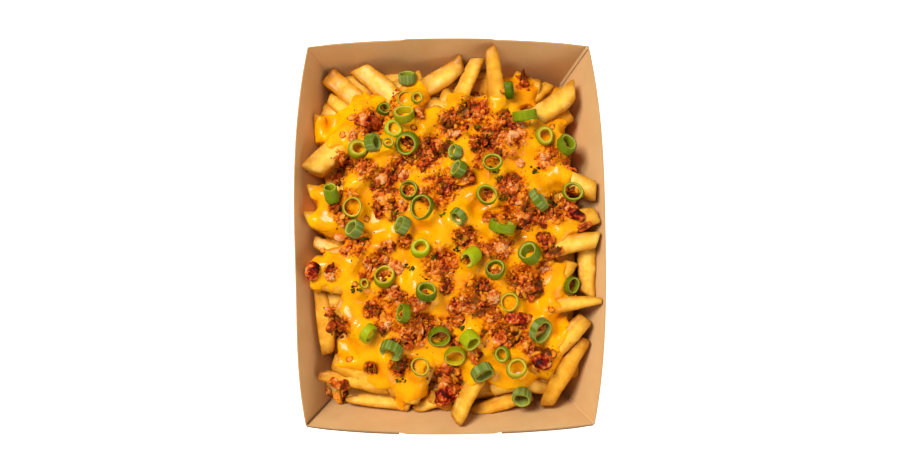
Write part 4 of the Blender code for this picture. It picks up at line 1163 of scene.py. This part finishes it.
def build_core(look):
    """The solid middle of the heap, from the foot up to the fries that lie on it."""
    floor = 2 * BOARD
    foot = np.array(tray_outline(floor, CORE_INSET))
    edge = np.array(tray_outline(CORE_FOOT, CORE_INSET))
    count = len(edge)
    rings = [np.column_stack([foot, np.full(count, floor)])]
    for step in range(CORE_STEPS, 0, -1):
        x, y = (edge * step / CORE_STEPS).T
        z = bed_height(x, y) - CORE_DROP
        z = z + 0.9 * MM * level_waves(x, y, 9 * MM, 3)
        z = np.minimum(z, CORE_FOOT + CORE_SLOPE * (1 - step / CORE_STEPS))
        rings.append(np.stack([x, y, z], axis=1))
    points = np.concatenate(rings + [[[0, 0, floor]], [rings[-1].mean(axis=0)]])
    pile = Pile()
    pile.add(points, capped_blocks(len(rings), count))
    return pile.piece("potato_core", look), pile


# The sauce


def grid():
    """The middles of the cells of a grid over the tray."""
    return np.meshgrid(*(np.arange(-half, half, CELL) for half in GRID_HALF))


def sample(field, x, y):
    """A grid's values at places, between its cells too."""
    across = np.clip((np.asarray(x) + GRID_HALF[0]) / CELL, 0, field.shape[1] - 1.001)
    along = np.clip((np.asarray(y) + GRID_HALF[1]) / CELL, 0, field.shape[0] - 1.001)
    i, j = along.astype(int), across.astype(int)
    a, b = along - i, across - j
    near = field[i, j] * (1 - b) + field[i, j + 1] * b
    far = field[i + 1, j] * (1 - b) + field[i + 1, j + 1] * b
    return near * (1 - a) + far * a


def blurred(field, cells):
    """A grid's values, each evened out with those near it."""
    reach = math.ceil(3 * cells)
    kernel = np.exp(-0.5 * (np.arange(-reach, reach + 1) / cells) ** 2)
    kernel /= kernel.sum()
    for axis in (0, 1):
        padded = np.pad(field, [(reach, reach) if a == axis else (0, 0) for a in (0, 1)], "edge")
        size = field.shape[axis]
        shifted = (np.take(padded, range(k, k + size), axis=axis) for k in range(len(kernel)))
        field = sum(weight * part for weight, part in zip(kernel, shifted))
    return field


def spread(field, cells, pick):
    """The highest or lowest value within a distance of each cell."""
    padded = np.pad(field, cells, "edge")
    height, width = field.shape
    result = field
    for i in range(-cells, cells + 1):
        for j in range(-cells, cells + 1):
            if i * i + j * j <= cells * cells:
                part = padded[cells + i : cells + i + height, cells + j : cells + j + width]
                result = pick(result, part)
    return result


def heights_of(tree, x, y, lowest):
    """The height that a ray from above meets at each place."""
    down = Vector((0, 0, -1))
    found = np.empty(x.size)
    for i, (u, v) in enumerate(zip(x.ravel(), y.ravel())):
        hit = tree.ray_cast(Vector((u, v, 0.2)), down)[0]
        found[i] = hit.z if hit else lowest
    return found.reshape(x.shape)


def capsule_distance(x, y, row):
    """Signed distance in mm from a lobe's edge, negative inside."""
    x0, y0, x1, y1, radius = row
    dx, dy = x1 - x0, y1 - y0
    share = np.clip(((x - x0) * dx + (y - y0) * dy) / max(dx * dx + dy * dy, 1e-9), 0, 1)
    return np.hypot(x - x0 - share * dx, y - y0 - share * dy) - radius


def pool_distance(x, y):
    """Signed distance in mm from the edge of the broad pool, a rounded rectangle."""
    dx = np.abs(x - POOL_CENTRE[0]) - POOL_HALF[0] + POOL_CORNER
    dy = np.abs(y - POOL_CENTRE[1]) - POOL_HALF[1] + POOL_CORNER
    outside = np.hypot(np.maximum(dx, 0), np.maximum(dy, 0))
    return outside + np.minimum(np.maximum(dx, dy), 0) - POOL_CORNER


def smooth_min(a, b, blend):
    share = np.clip(0.5 + 0.5 * (b - a) / blend, 0, 1)
    return b + (a - b) * share - blend * share * (1 - share)


def bareness(x, y, row):
    """How far in mm a place is inside the stretch of a fry that the sauce leaves bare."""
    outer, inner = fry_ends(row)
    half = row[6] / 2
    way = (inner - outer).xy
    length = way.length
    way /= length
    x, y = x - outer.x / MM, y - outer.y / MM
    along = x * way.x + y * way.y
    beside = np.abs(x * way.y - y * way.x)
    level = length / (inner - outer).length
    tongue = SAUCE_TONGUE * (1 - np.minimum(beside / half, 1) ** 2)
    bare = np.minimum(row[7] * level - tongue - along, half + 0.8 - beside)
    return np.minimum(bare, along + half)


def sauce_depth(x, y):
    """How far in mm a place is inside the sauce's edge, seen from above."""
    u, v = x / MM, y / MM
    distance = pool_distance(u, v)
    for lobe in LOBES:
        distance = smooth_min(distance, capsule_distance(u, v, lobe), LOBE_BLEND)
    wander = level_waves(x, y, 11 * MM, 7) + 0.4 * level_waves(x, y, 4 * MM, 8)
    distance = distance + SAUCE_WANDER * wander
    for row in BARE_FRIES:
        distance = np.maximum(distance, bareness(u, v, row))
    return -distance


def stain_field(x, y):
    """Where bacon has stained the sauce, from 0 to 1."""
    stain = np.zeros_like(x)
    spots = [(u, v, radius, radius) for u, v, radius in BACON_DRIFTS]
    spots += [(row[0], row[1], row[2] / 2 + 1.5, row[3] / 2 + 1.5) for row in BACON_CLUSTERS]
    for u, v, reach_x, reach_y in spots:
        place = on_sight_line(u, v, BED_CENTRE)
        away = np.hypot((x - place.x) / (reach_x * MM), (y - place.y) / (reach_y * MM))
        stain = np.maximum(stain, 1 - smooth_step(0.75, 1.25, away))
    return stain


def contact_changes(top, slices, pieces):
    """How much the sauce has to rise under each topping, so that the topping is sunk in it."""
    changes = []
    for ring in slices:
        angle = np.linspace(0, math.tau, 16, endpoint=False)[:, None]
        _, one, other = ring["frame"]
        circle = ring["centre"] + ring["radius"] * (np.cos(angle) * one + np.sin(angle) * other)
        half = ring["axis"] * ring["length"] * 0.5
        rim = np.concatenate([circle - half, circle + half])
        sink = SLICE_SINK[0] + SLICE_SINK[1] * (1 - ring["axis"][2] ** 2)
        deepest = (sample(top, rim[:, 0], rim[:, 1]) - rim[:, 2]).max()
        changes.append((ring["centre"], ring["radius"], sink - deepest))
    for points in pieces:
        deepest = (sample(top, points[:, 0], points[:, 1]) - points[:, 2]).max()
        reach = np.ptp(points[:, :2], axis=0).max() / 2
        changes.append((points.mean(axis=0), reach, PIECE_SINK - deepest))
    return changes


def build_sauce(look, fries_tree, slices, pieces):
    """A closed blanket over the fries: a fine relief, remeshed and smoothed to a soft skin."""
    x, y = grid()
    base = heights_of(fries_tree, x, y, BED_LOWEST)
    depth = sauce_depth(x, y)
    closed = spread(spread(base, SAUCE_CLOSING, np.maximum), SAUCE_CLOSING, np.minimum)
    middle = blurred(closed, SAUCE_BLUR)
    inside = np.clip(depth / SAUCE_RUN, 0, 1)
    front = np.clip(depth / SAUCE_FRONT, 0, 1)
    lip = np.sqrt(1 - (1 - front) ** 2)
    thickness = (SAUCE_EDGE + (SAUCE_DEEP - SAUCE_EDGE) * np.sqrt(inside)) * lip
    thickness *= 1 + SAUCE_UNEVEN * level_waves(x, y, 13 * MM, 21)
    top = np.maximum(middle + thickness, base + SAUCE_LEAST * lip)
    top = np.where(depth > 0, blurred(top, SAUCE_BLUR_SKIN), base - SAUCE_TUCK)
    rise, weight = np.zeros_like(top), np.full_like(top, 1e-6)
    for centre, reach, change in contact_changes(top, slices, pieces):
        away = np.hypot(x - centre[0], y - centre[1]) - reach
        near = 1 - smooth_step(0, TOPPING_REACH, away)
        rise += near * change
        weight += near
    top = np.where(depth > 0, top + rise / np.maximum(weight, 1), top)
    low = np.minimum(blurred(base, SAUCE_BLUR_UNDER), top) - SAUCE_FLOOR

    kept = depth > -SAUCE_HEM
    index = np.cumsum(kept).reshape(kept.shape) - 1
    count = int(kept.sum())
    points = np.concatenate([np.stack([x[kept], y[kept], z[kept]], axis=1) for z in (top, low)])
    whole = kept[:-1, :-1] & kept[1:, :-1] & kept[:-1, 1:] & kept[1:, 1:]
    i, j = np.nonzero(whole)
    quads = np.stack([index[i, j], index[i, j + 1], index[i + 1, j + 1], index[i + 1, j]], axis=1)
    blocks = [quads, quads[:, ::-1] + count, side_walls(quads, count)]
    draft = make_piece("cheese_draft", points, blocks, look)
    modify(draft, "REMESH", mode="VOXEL", voxel_size=SAUCE_VOXEL)
    modify(draft, "SMOOTH", factor=0.5, iterations=4)
    points, triangles = used_up(draft)
    over = points[:, 2] > sample((top + low) / 2, points[:, 0], points[:, 1])
    covered = sample(base + SAUCE_COVER * lip, points[:, 0], points[:, 1])
    covered[sample(depth, points[:, 0], points[:, 1]) < 0.6] = 0
    points[over, 2] = np.maximum(points[over, 2], covered[over])
    stain = sample(stain_field(x, y), points[:, 0], points[:, 1])
    lumpy = waves(points, 3.4 * MM, 61, 14) + 0.5 * np.abs(waves(points, 2.2 * MM, 62, 14))
    points[over, 2] += MASH_RELIEF * stain[over] * np.clip(lumpy[over], -0.6, 1.6)
    return make_piece("cheese_blanket", points, [triangles], look, {"stain": stain})


def side_walls(quads, count):
    """Quads that join the rims of a sheet and of its copy, which comes count points later."""
    edges = np.concatenate([quads[:, [k, (k + 1) % 4]] for k in range(4)])
    keys = np.sort(edges, axis=1)
    order = np.lexsort((keys[:, 1], keys[:, 0]))
    ordered = keys[order]
    same = (ordered[1:] == ordered[:-1]).all(axis=1)
    shared = np.zeros(len(edges), bool)
    shared[order[1:][same]] = True
    shared[order[:-1][same]] = True
    rim = edges[~shared]
    return np.stack([rim[:, 1], rim[:, 0], rim[:, 0] + count, rim[:, 1] + count], axis=1)


# Toppings


def node_points(name):
    """The distinct corners of a CAD node."""
    points = np.array([vert.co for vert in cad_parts[name].data.vertices])
    return np.unique(np.round(points, 7), axis=0)


def slice_frame(name):
    """A slice's centre, axis, radii and length, read from its CAD node."""
    points = node_points(name)
    centre = points.mean(axis=0)
    values, ways = np.linalg.eigh(np.cov((points - centre).T))
    axis = ways[:, 0 if values[1] - values[0] > values[2] - values[1] else 2]
    axis = axis * np.sign(axis[2])
    along = (points - centre) @ axis
    across = np.linalg.norm(points - centre - np.outer(along, axis), axis=1)
    return {
        "name": name,
        "number": int(name[-2:]),
        "centre": centre,
        "axis": axis,
        "frame": frame_of(axis, SLICE_UP),
        "length": np.ptp(along),
        "radius": across.max(),
        "inner": across.min(),
    }


def build_slice(ring, looks):
    """A slice of onion in place of its CAD node: a rounded tube, a little oval and uneven."""
    draw = random.Random(ring["number"])
    turn = math.tau * np.arange(SLICE_STEPS) / SLICE_STEPS
    profile = math.tau * (np.arange(SLICE_PROFILE) + 0.5) / SLICE_PROFILE
    cos, sin = np.cos(profile), np.sin(profile)
    across = np.sign(cos) * np.abs(cos) ** 0.5
    along = np.sign(sin) * np.abs(sin) ** 0.45
    phases = [draw.uniform(0, math.tau) for _ in range(4)]
    oval = 1 + 0.05 * np.cos(2 * turn + phases[0]) + 0.02 * np.cos(3 * turn + phases[1])
    wall = 1 + 0.18 * np.cos(turn + phases[2]) + 0.08 * np.cos(5 * turn + phases[3])
    outer = ring["radius"]
    inner = ring["inner"] + WALL_THINNED * (outer - ring["inner"] - THIN_WALL)
    middle, half = (outer + inner) / 2, (outer - inner) / 2
    reach = (middle + half * across[:, None] * wall) * oval
    slope = draw.uniform(-0.10, 0.10)
    height = ring["length"] / 2 * along[:, None] * (1 + 0.05 * np.sin(4 * turn + phases[2]))
    height = height + slope * middle * np.cos(turn + phases[1])
    axis, one, other = ring["frame"]
    x, y = reach * np.cos(turn), reach * np.sin(turn)
    points = x[..., None] * one + y[..., None] * other + height[..., None] * axis
    lines = soft_ring(draw, SLICE_STEPS, 0.2)
    on_wall = (np.abs(sin) < 0.8).astype(float)
    on_rim = (np.abs(sin) > 0.8) * smooth_step(0.1, -0.6, across)
    numbers = {
        "across": np.repeat(0.1 + 0.9 * (0.5 + 0.5 * across), SLICE_STEPS),
        "streak": np.outer(on_wall, smooth_step(0.40, 0.70, lines)).ravel(),
        "side": np.outer(on_wall, 0.5 + 0.5 * np.cos(turn + phases[3])).ravel(),
        "cut": np.repeat(on_rim, SLICE_STEPS),
    }
    pile = Pile()
    blocks = [ring_blocks(SLICE_PROFILE, SLICE_STEPS, closed=True)]
    pile.add(points.reshape(-1, 3) + ring["centre"], blocks, **numbers)
    kinds = [kind for kind, members in SLICE_KINDS.items() if ring["number"] in members]
    piece = pile.piece(f"onion_ring_{ring['number']:02d}", looks[(kinds or ["mid"])[0]])
    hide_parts(ring["name"])
    return piece, pile


def crumb_kinds(subdivisions, seed, planes, roughness):
    """Broken lumps about 1 across, and how pale each corner is painted, darker in its hollows as
    painted shade and paler on its crests as painted light: cut balls, then roughened.
    """
    points, triangles = ball(subdivisions)
    draw = np.random.default_rng(seed)
    kinds = []
    for k in range(CRUMB_KINDS):
        ways = draw.normal(size=(planes, 3))
        ways /= np.linalg.norm(ways, axis=1, keepdims=True)
        facing = points @ ways.T
        depth = draw.uniform(0.5, 1.0, planes)
        cut = np.where(facing > 0.05, depth / np.maximum(facing, 0.05), 9).min(axis=1)
        frill = waves(points, 1.1, seed + k) + 0.6 * waves(points, 0.55, seed + 50 + k)
        radius = np.minimum(cut, 1) * (1 + roughness * frill)
        kinds.append((points * radius[:, None] * 0.55, np.clip(frill, -1.5, 1.5)))
    return kinds, triangles


class Table:
    """The food's top as the eye sees it, with what keeps crumbs off the slices."""

    def __init__(self, tree, slices_tree):
        self.tree = tree
        self.slices_tree = slices_tree

    def land(self, x, y):
        """The place and normal that the eye sees at x, y mm on the rim's plane."""
        on_rim = Vector((x * MM, y * MM, TRAY_HEIGHT))
        place, normal = self.tree.ray_cast(EYE, (on_rim - EYE).normalized())[:2]
        if place is None:
            place, normal = self.tree.find_nearest(on_rim)[:2]
        return place, normal

    def clear(self, place, size):
        """Whether a crumb there keeps off every slice."""
        return self.slices_tree.find_nearest(place, 0.55 * size)[0] is None


def add_crumb(
    pile, kinds, table, draw, x, y, size, tone, coated=0.0, lift=0.0, flat=CRUMB_FLAT
):
    """Lays a crumb on the food, turned at random and partly sunk, unless a slice is in its way."""
    place, normal = table.land(x, y)
    if not table.clear(place, size):
        return
    shapes, triangles = kinds
    shape, relief = shapes[draw.randrange(len(shapes))]
    stretch = np.array([draw.uniform(*limits) for limits in (*CRUMB_STRETCH, flat)])
    tilt = draw.gauss(0, CRUMB_TILT), draw.gauss(0, CRUMB_TILT)
    turn = Euler((*tilt, draw.uniform(0, math.tau)))
    lean = np.array(Vector((0, 0, 1)).rotation_difference(normal).to_matrix())
    centre = np.array(place) + np.array(normal) * (size * 0.02 + lift)
    points = (shape * stretch * size) @ (lean @ np.array(turn.to_matrix())).T + centre
    # Painted shade and light: darker in the crumb's hollows, paler on its crests.
    tone = np.clip(tone + CRUMB_PAINTED_SHADE * relief, 0, 1)
    pile.add(points, [triangles], tone=tone, coated=coated)


def rim_spot(place):
    """Where the sight line to a place crosses the rim's plane, in mm."""
    eye = np.array(EYE)
    spot = eye + (place - eye) * (EYE.z - TRAY_HEIGHT) / (EYE.z - place[2])
    return spot[0] / MM, spot[1] / MM


def ellipse_spot(draw, x, y, length, width):
    """A random place in an ellipse, and how far it is from the middle towards the edge."""
    turn = draw.uniform(0, math.tau)
    away = math.sqrt(draw.random())
    return x + away * length / 2 * math.cos(turn), y + away * width / 2 * math.sin(turn), away


def build_crumbs(look, table, slices):
    """The crumbs of bacon: clusters of a tone, drifts of mixed tones, and in holes of slices."""
    draw = random.Random(31)
    spots = [(CLUSTER_LAYERS, row) for row in BACON_CLUSTERS]
    spots += [(DRIFT_LAYERS, (x, y, 2 * radius, 2 * radius, 0)) for x, y, radius in BACON_DRIFTS]
    for ring in slices:
        if ring["number"] in SLICE_FILLED:
            across = HOLE_FILL * ring["inner"] / MM
            spots.append((HOLE_LAYERS, (*rim_spot(ring["centre"]), across, across, 0)))
    names = ("lumps", "crumbs", "bits")
    kinds = {name: crumb_kinds(*CRUMB_SHAPES[name]) for name in names}
    piles = {name: Pile() for name in names}
    for layers, (x, y, length, width, shown) in spots:
        for name, share, past, sizes, tone, spread_tone, coated, heap in layers:
            long, wide = length + past, width + past
            for _ in range(round(long * wide * share)):
                u, v, away = ellipse_spot(draw, x, y, long, wide)
                size = draw.uniform(*sizes) * MM
                lift = draw.random() * (1 - away * away) * heap * MM
                coat = draw.uniform(0.6, 1) if draw.random() < coated else draw.uniform(0, 0.25)
                own = draw.gauss(shown + tone, spread_tone)
                add_crumb(piles[name], kinds[name], table, draw, u, v, size, own, coat, lift)
    return [pile.piece(f"bacon_{name}", look) for name, pile in piles.items()]


def build_specks(look, table):
    """Dark specks of char over the crumbs and, here and there, on the clean sauce."""
    draw = random.Random(41)
    kinds = crumb_kinds(*CRUMB_SHAPES["specks"])
    pile = Pile()
    for x, y, radius in BACON_DRIFTS:
        across = SPECK_REACH * radius
        for _ in range(round(radius * SPECKS_A_MM)):
            u, v, _ = ellipse_spot(draw, x, y, across, across)
            size = draw.uniform(0.35, 0.95) * MM
            add_crumb(pile, kinds, table, draw, u, v, size, draw.uniform(0.02, 0.22), lift=0.2 * MM)
    for _ in range(LOOSE_SPECKS):
        u, v = (draw.uniform(*limits) for limits in LOOSE_SPECK_FIELD)
        add_crumb(pile, kinds, table, draw, u, v, draw.uniform(0.3, 0.7) * MM, draw.uniform(0, 0.2))
    return pile.piece("char_specks", look)


def build_herbs(look, table):
    """Clumps of dark green scraps."""
    draw = random.Random(43)
    kinds = crumb_kinds(*CRUMB_SHAPES["herbs"])
    pile = Pile()
    for x, y in HERB_CLUMPS:
        for _ in range(SCRAPS_A_CLUMP):
            u, v = draw.gauss(x, 1.1), draw.gauss(y, 0.8)
            size = draw.uniform(0.7, 2.0) * MM
            add_crumb(pile, kinds, table, draw, u, v, size, draw.random(), 0, 0.4 * MM, SCRAP_FLAT)
    return pile.piece("herb_scraps", look)


def lay(pile, table, x, y, shape, triangles, size, heading, lift, tone, coated=0.1):
    """Lays a shape of radius 1 on the food, with its size and lift in mm."""
    place, normal = table.land(x, y)
    out = np.array(normal) * 0.6 + np.array((0, 0, 0.4))
    out /= np.linalg.norm(out)
    side = np.cross(out, np.array((math.cos(heading), math.sin(heading), 0)))
    side /= np.linalg.norm(side)
    turned = np.array([np.cross(side, out), side, out])
    points = (shape * (np.array(size) * MM / 2)) @ turned + np.array(place)
    points = points + np.array((0, 0, lift * MM))
    pile.add(points, [triangles], tone=np.clip(tone, 0, 1), coated=coated)


def build_slabs(look, table):
    """Single flat pieces of bacon with a buckled face and rounded, darker edges."""
    draw = random.Random(47)
    points, triangles = ball(4)
    pile = Pile()
    for k, (x, y, length, width, thickness, heading, tone) in enumerate(BACON_SLABS):
        shape = points / (np.abs(points) ** 3).sum(axis=1)[:, None] ** (1 / 3)
        shape = shape * (1 + 0.10 * waves(points, 1.5, 60 + k))[:, None]
        rim = np.hypot(shape[:, 0], shape[:, 1])
        shape[:, 2] += 0.35 * waves(shape * (1, 1, 0), 1.8, 80 + k)
        shade = tone - 0.22 * smooth_step(0.75, 1.1, rim) + 0.05 * draw.uniform(-1, 1)
        size = length, width, thickness
        lift = 0.3 * thickness
        lay(pile, table, x, y, shape, triangles, size, math.radians(heading), lift, shade)
    return pile.piece("bacon_slabs", look)


def build_fat(look, table):
    """Flat, ruffled chips of pale fat, darkened in their hollows by painted shade."""
    points, triangles = ball(4)
    pile = Pile()
    for k, (x, y, length, width, tone) in enumerate(FAT_LUMPS):
        frill = np.abs(waves(points, 0.9, 120 + k))
        swell = 0.10 * waves(points, 1.8, 140 + k) + 0.05 * waves(points, 0.4, 160 + k)
        shape = points * (0.84 + 0.20 * frill + swell)[:, None]
        # Painted shade: the tone drops in the hollows of the ruffles.
        shade = tone - 0.38 * smooth_step(0.45, 0.0, frill)
        size = length, width, 0.5 * (length + width) / 2
        lay(pile, table, x, y, shape, triangles, size, 0.7 * k, 1.0, shade)
    return pile.piece("bacon_fat", look)


def build_curls(look, table):
    """Small blistered scraps: coated in sauce in the middle, with a browned, crinkled rim."""
    points, triangles = ball(3)
    pile = Pile()
    rim = np.hypot(points[:, 0], points[:, 1])
    for k, (x, y, diameter) in enumerate(BACON_CURLS):
        crinkle = waves(points, 1.0, 900 + k)
        shape = points * (0.86 + 0.17 * crinkle)[:, None]
        shape[:, 2] += 0.35 * rim**3
        browned = smooth_step(0.62, 1.0, rim + 0.3 * crinkle)
        size = diameter, 0.85 * diameter, 0.42 * diameter
        tone, coated = 0.66 - 0.36 * browned, 0.9 * (1 - browned)
        lay(pile, table, x, y, shape, triangles, size, 1.3 * k, 0.2, tone, coated)
    return pile.piece("bacon_scraps", look)


def build_chunk(name, look):
    """A torn piece of bacon in place of its CAD node: the same block, rounded and granular."""
    number = int(name[-1])
    shape = bmesh.new()
    shape.from_mesh(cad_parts[name].data)
    bmesh.ops.remove_doubles(shape, verts=shape.verts[:], dist=1e-5)
    draft = add_object("chunk_draft", mesh_of(shape, "chunk_draft"))
    modify(draft, "SUBSURF", levels=4)
    points, triangles = used_up(draft)
    centre = points.mean(axis=0)
    away = points - centre
    out = away / np.linalg.norm(away, axis=1, keepdims=True)
    grains = 0.30 * MM * waves(points, 3 * MM, number)
    grains = grains + 0.14 * MM * np.abs(waves(points, 1.2 * MM, number + 9))
    points = centre + away * 1.12 + out * grains[:, None]
    tone = CHUNK_TONES[number] + 0.1 * waves(points, 3 * MM, number + 5)
    numbers = {"tone": tone, "coated": np.zeros(len(points))}
    piece = make_piece(f"bacon_chunk_{number}", points, [triangles], look, numbers)
    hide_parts(name)
    return piece


# The room


def build_floor():
    """A wide floor just under the tray, which is there for the render alone."""
    shape = bmesh.new()
    bmesh.ops.create_grid(shape, x_segments=1, y_segments=1, size=FLOOR_HALF)
    floor = add_object("floor", mesh_of(shape, "floor"))
    floor.location.z = -FLOOR_DROP
    floor.data.materials.append(floor_look())


def build_room():
    """The sky, the lamps, the floor and the camera."""
    scene = bpy.context.scene
    scene.world = bpy.data.worlds.new("studio")
    scene.world.use_nodes = True
    sky = scene.world.node_tree.nodes["Background"]
    sky.inputs["Color"].default_value = (1, 1, 1, 1)
    sky.inputs["Strength"].default_value = SKY_STRENGTH
    for name, (place, size, power) in LAMPS.items():
        data = bpy.data.lights.new(name, "AREA")
        data.size = size
        data.energy = power
        lamp = add_object(name, data)
        lamp.location = place
        lamp.rotation_euler = (-Vector(place)).to_track_quat("-Z", "Y").to_euler()
    build_floor()
    scene.view_settings.view_transform = "Standard"
    data = bpy.data.cameras.new("camera")
    data.lens = LENS
    data.sensor_width = SENSOR
    data.clip_start = 0.01
    scene.camera = add_object("camera", data)
    scene.camera.location = EYE
    scene.camera.rotation_euler = EYE_TURN


def build_food():
    """The heap of fries, the sauce over it, and the toppings on the sauce."""
    potato, deep, cheese, bacon = potato_look(), core_look(), cheese_look(), bacon_look()
    onions = {kind: onion_look(f"onion_{kind}", *row) for kind, row in ONIONS.items()}
    fries, fries_pile = build_fries(potato)
    core, core_pile = build_core(deep)
    for piece in (fries, core):
        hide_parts("fries")
    names = sorted(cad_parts)
    slices = [slice_frame(name) for name in names if name.startswith("onion_slice")]
    chunks = [name for name in names if name.startswith("bacon_piece")]
    heap = Pile().join(fries_pile, core_pile)
    sauce = build_sauce(cheese, heap.tree(), slices, [node_points(name) for name in chunks])
    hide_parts("cheese_sauce")
    made = [fries, core, sauce]
    rings = Pile()
    for ring in slices:
        piece, pile = build_slice(ring, onions)
        rings.join(pile)
        made.append(piece)
    made += [build_chunk(name, bacon) for name in chunks]
    points, triangles = mesh_arrays(sauce.data)
    top = Pile()
    top.add(points, [triangles])
    table = Table(top.join(heap).tree(), rings.tree())
    bits = build_crumbs(bacon, table, slices)
    bits += [build(bacon, table) for build in (build_slabs, build_fat, build_curls, build_specks)]
    herbs = build_herbs(herb_look(), table)
    for piece in [fries, core, sauce, herbs] + bits:
        press_inside(piece)
    return made + bits + [herbs]


def build_board():
    """The tray, its four flaps, and the lines down three of its corners."""
    # Painted highlight: besides cut edges, the pale edge colours the strip down one fold.
    kraft, pale_edge_and_fold_highlight = kraft_look("kraft_board", 0.0), kraft_look("kraft_pale_edge_and_fold_highlight", 0.25)
    cut_edge = kraft_look("kraft_cut_edge", 0.55, (0.36, 0.20, 0.09))
    # Painted shade: dark brown for the shadow in the gap behind each flap's rim and in one crease.
    painted_shade_edge = kraft_look("kraft_painted_shade_edge", 0.9, (0.12, 0.05, 0.02))
    boards = [build_tray(kraft, cut_edge)]
    boards += [build_flap(end, side, kraft, painted_shade_edge) for end in (-1, 1) for side in (-1, 1)]
    boards += [
        build_seam(*row, look) for row, look in zip(SEAMS, (pale_edge_and_fold_highlight, pale_edge_and_fold_highlight, painted_shade_edge))
    ]
    for board in boards:
        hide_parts("tray")
    return boards


build_room()
for piece in build_board() + build_food():
    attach(piece, BODY)
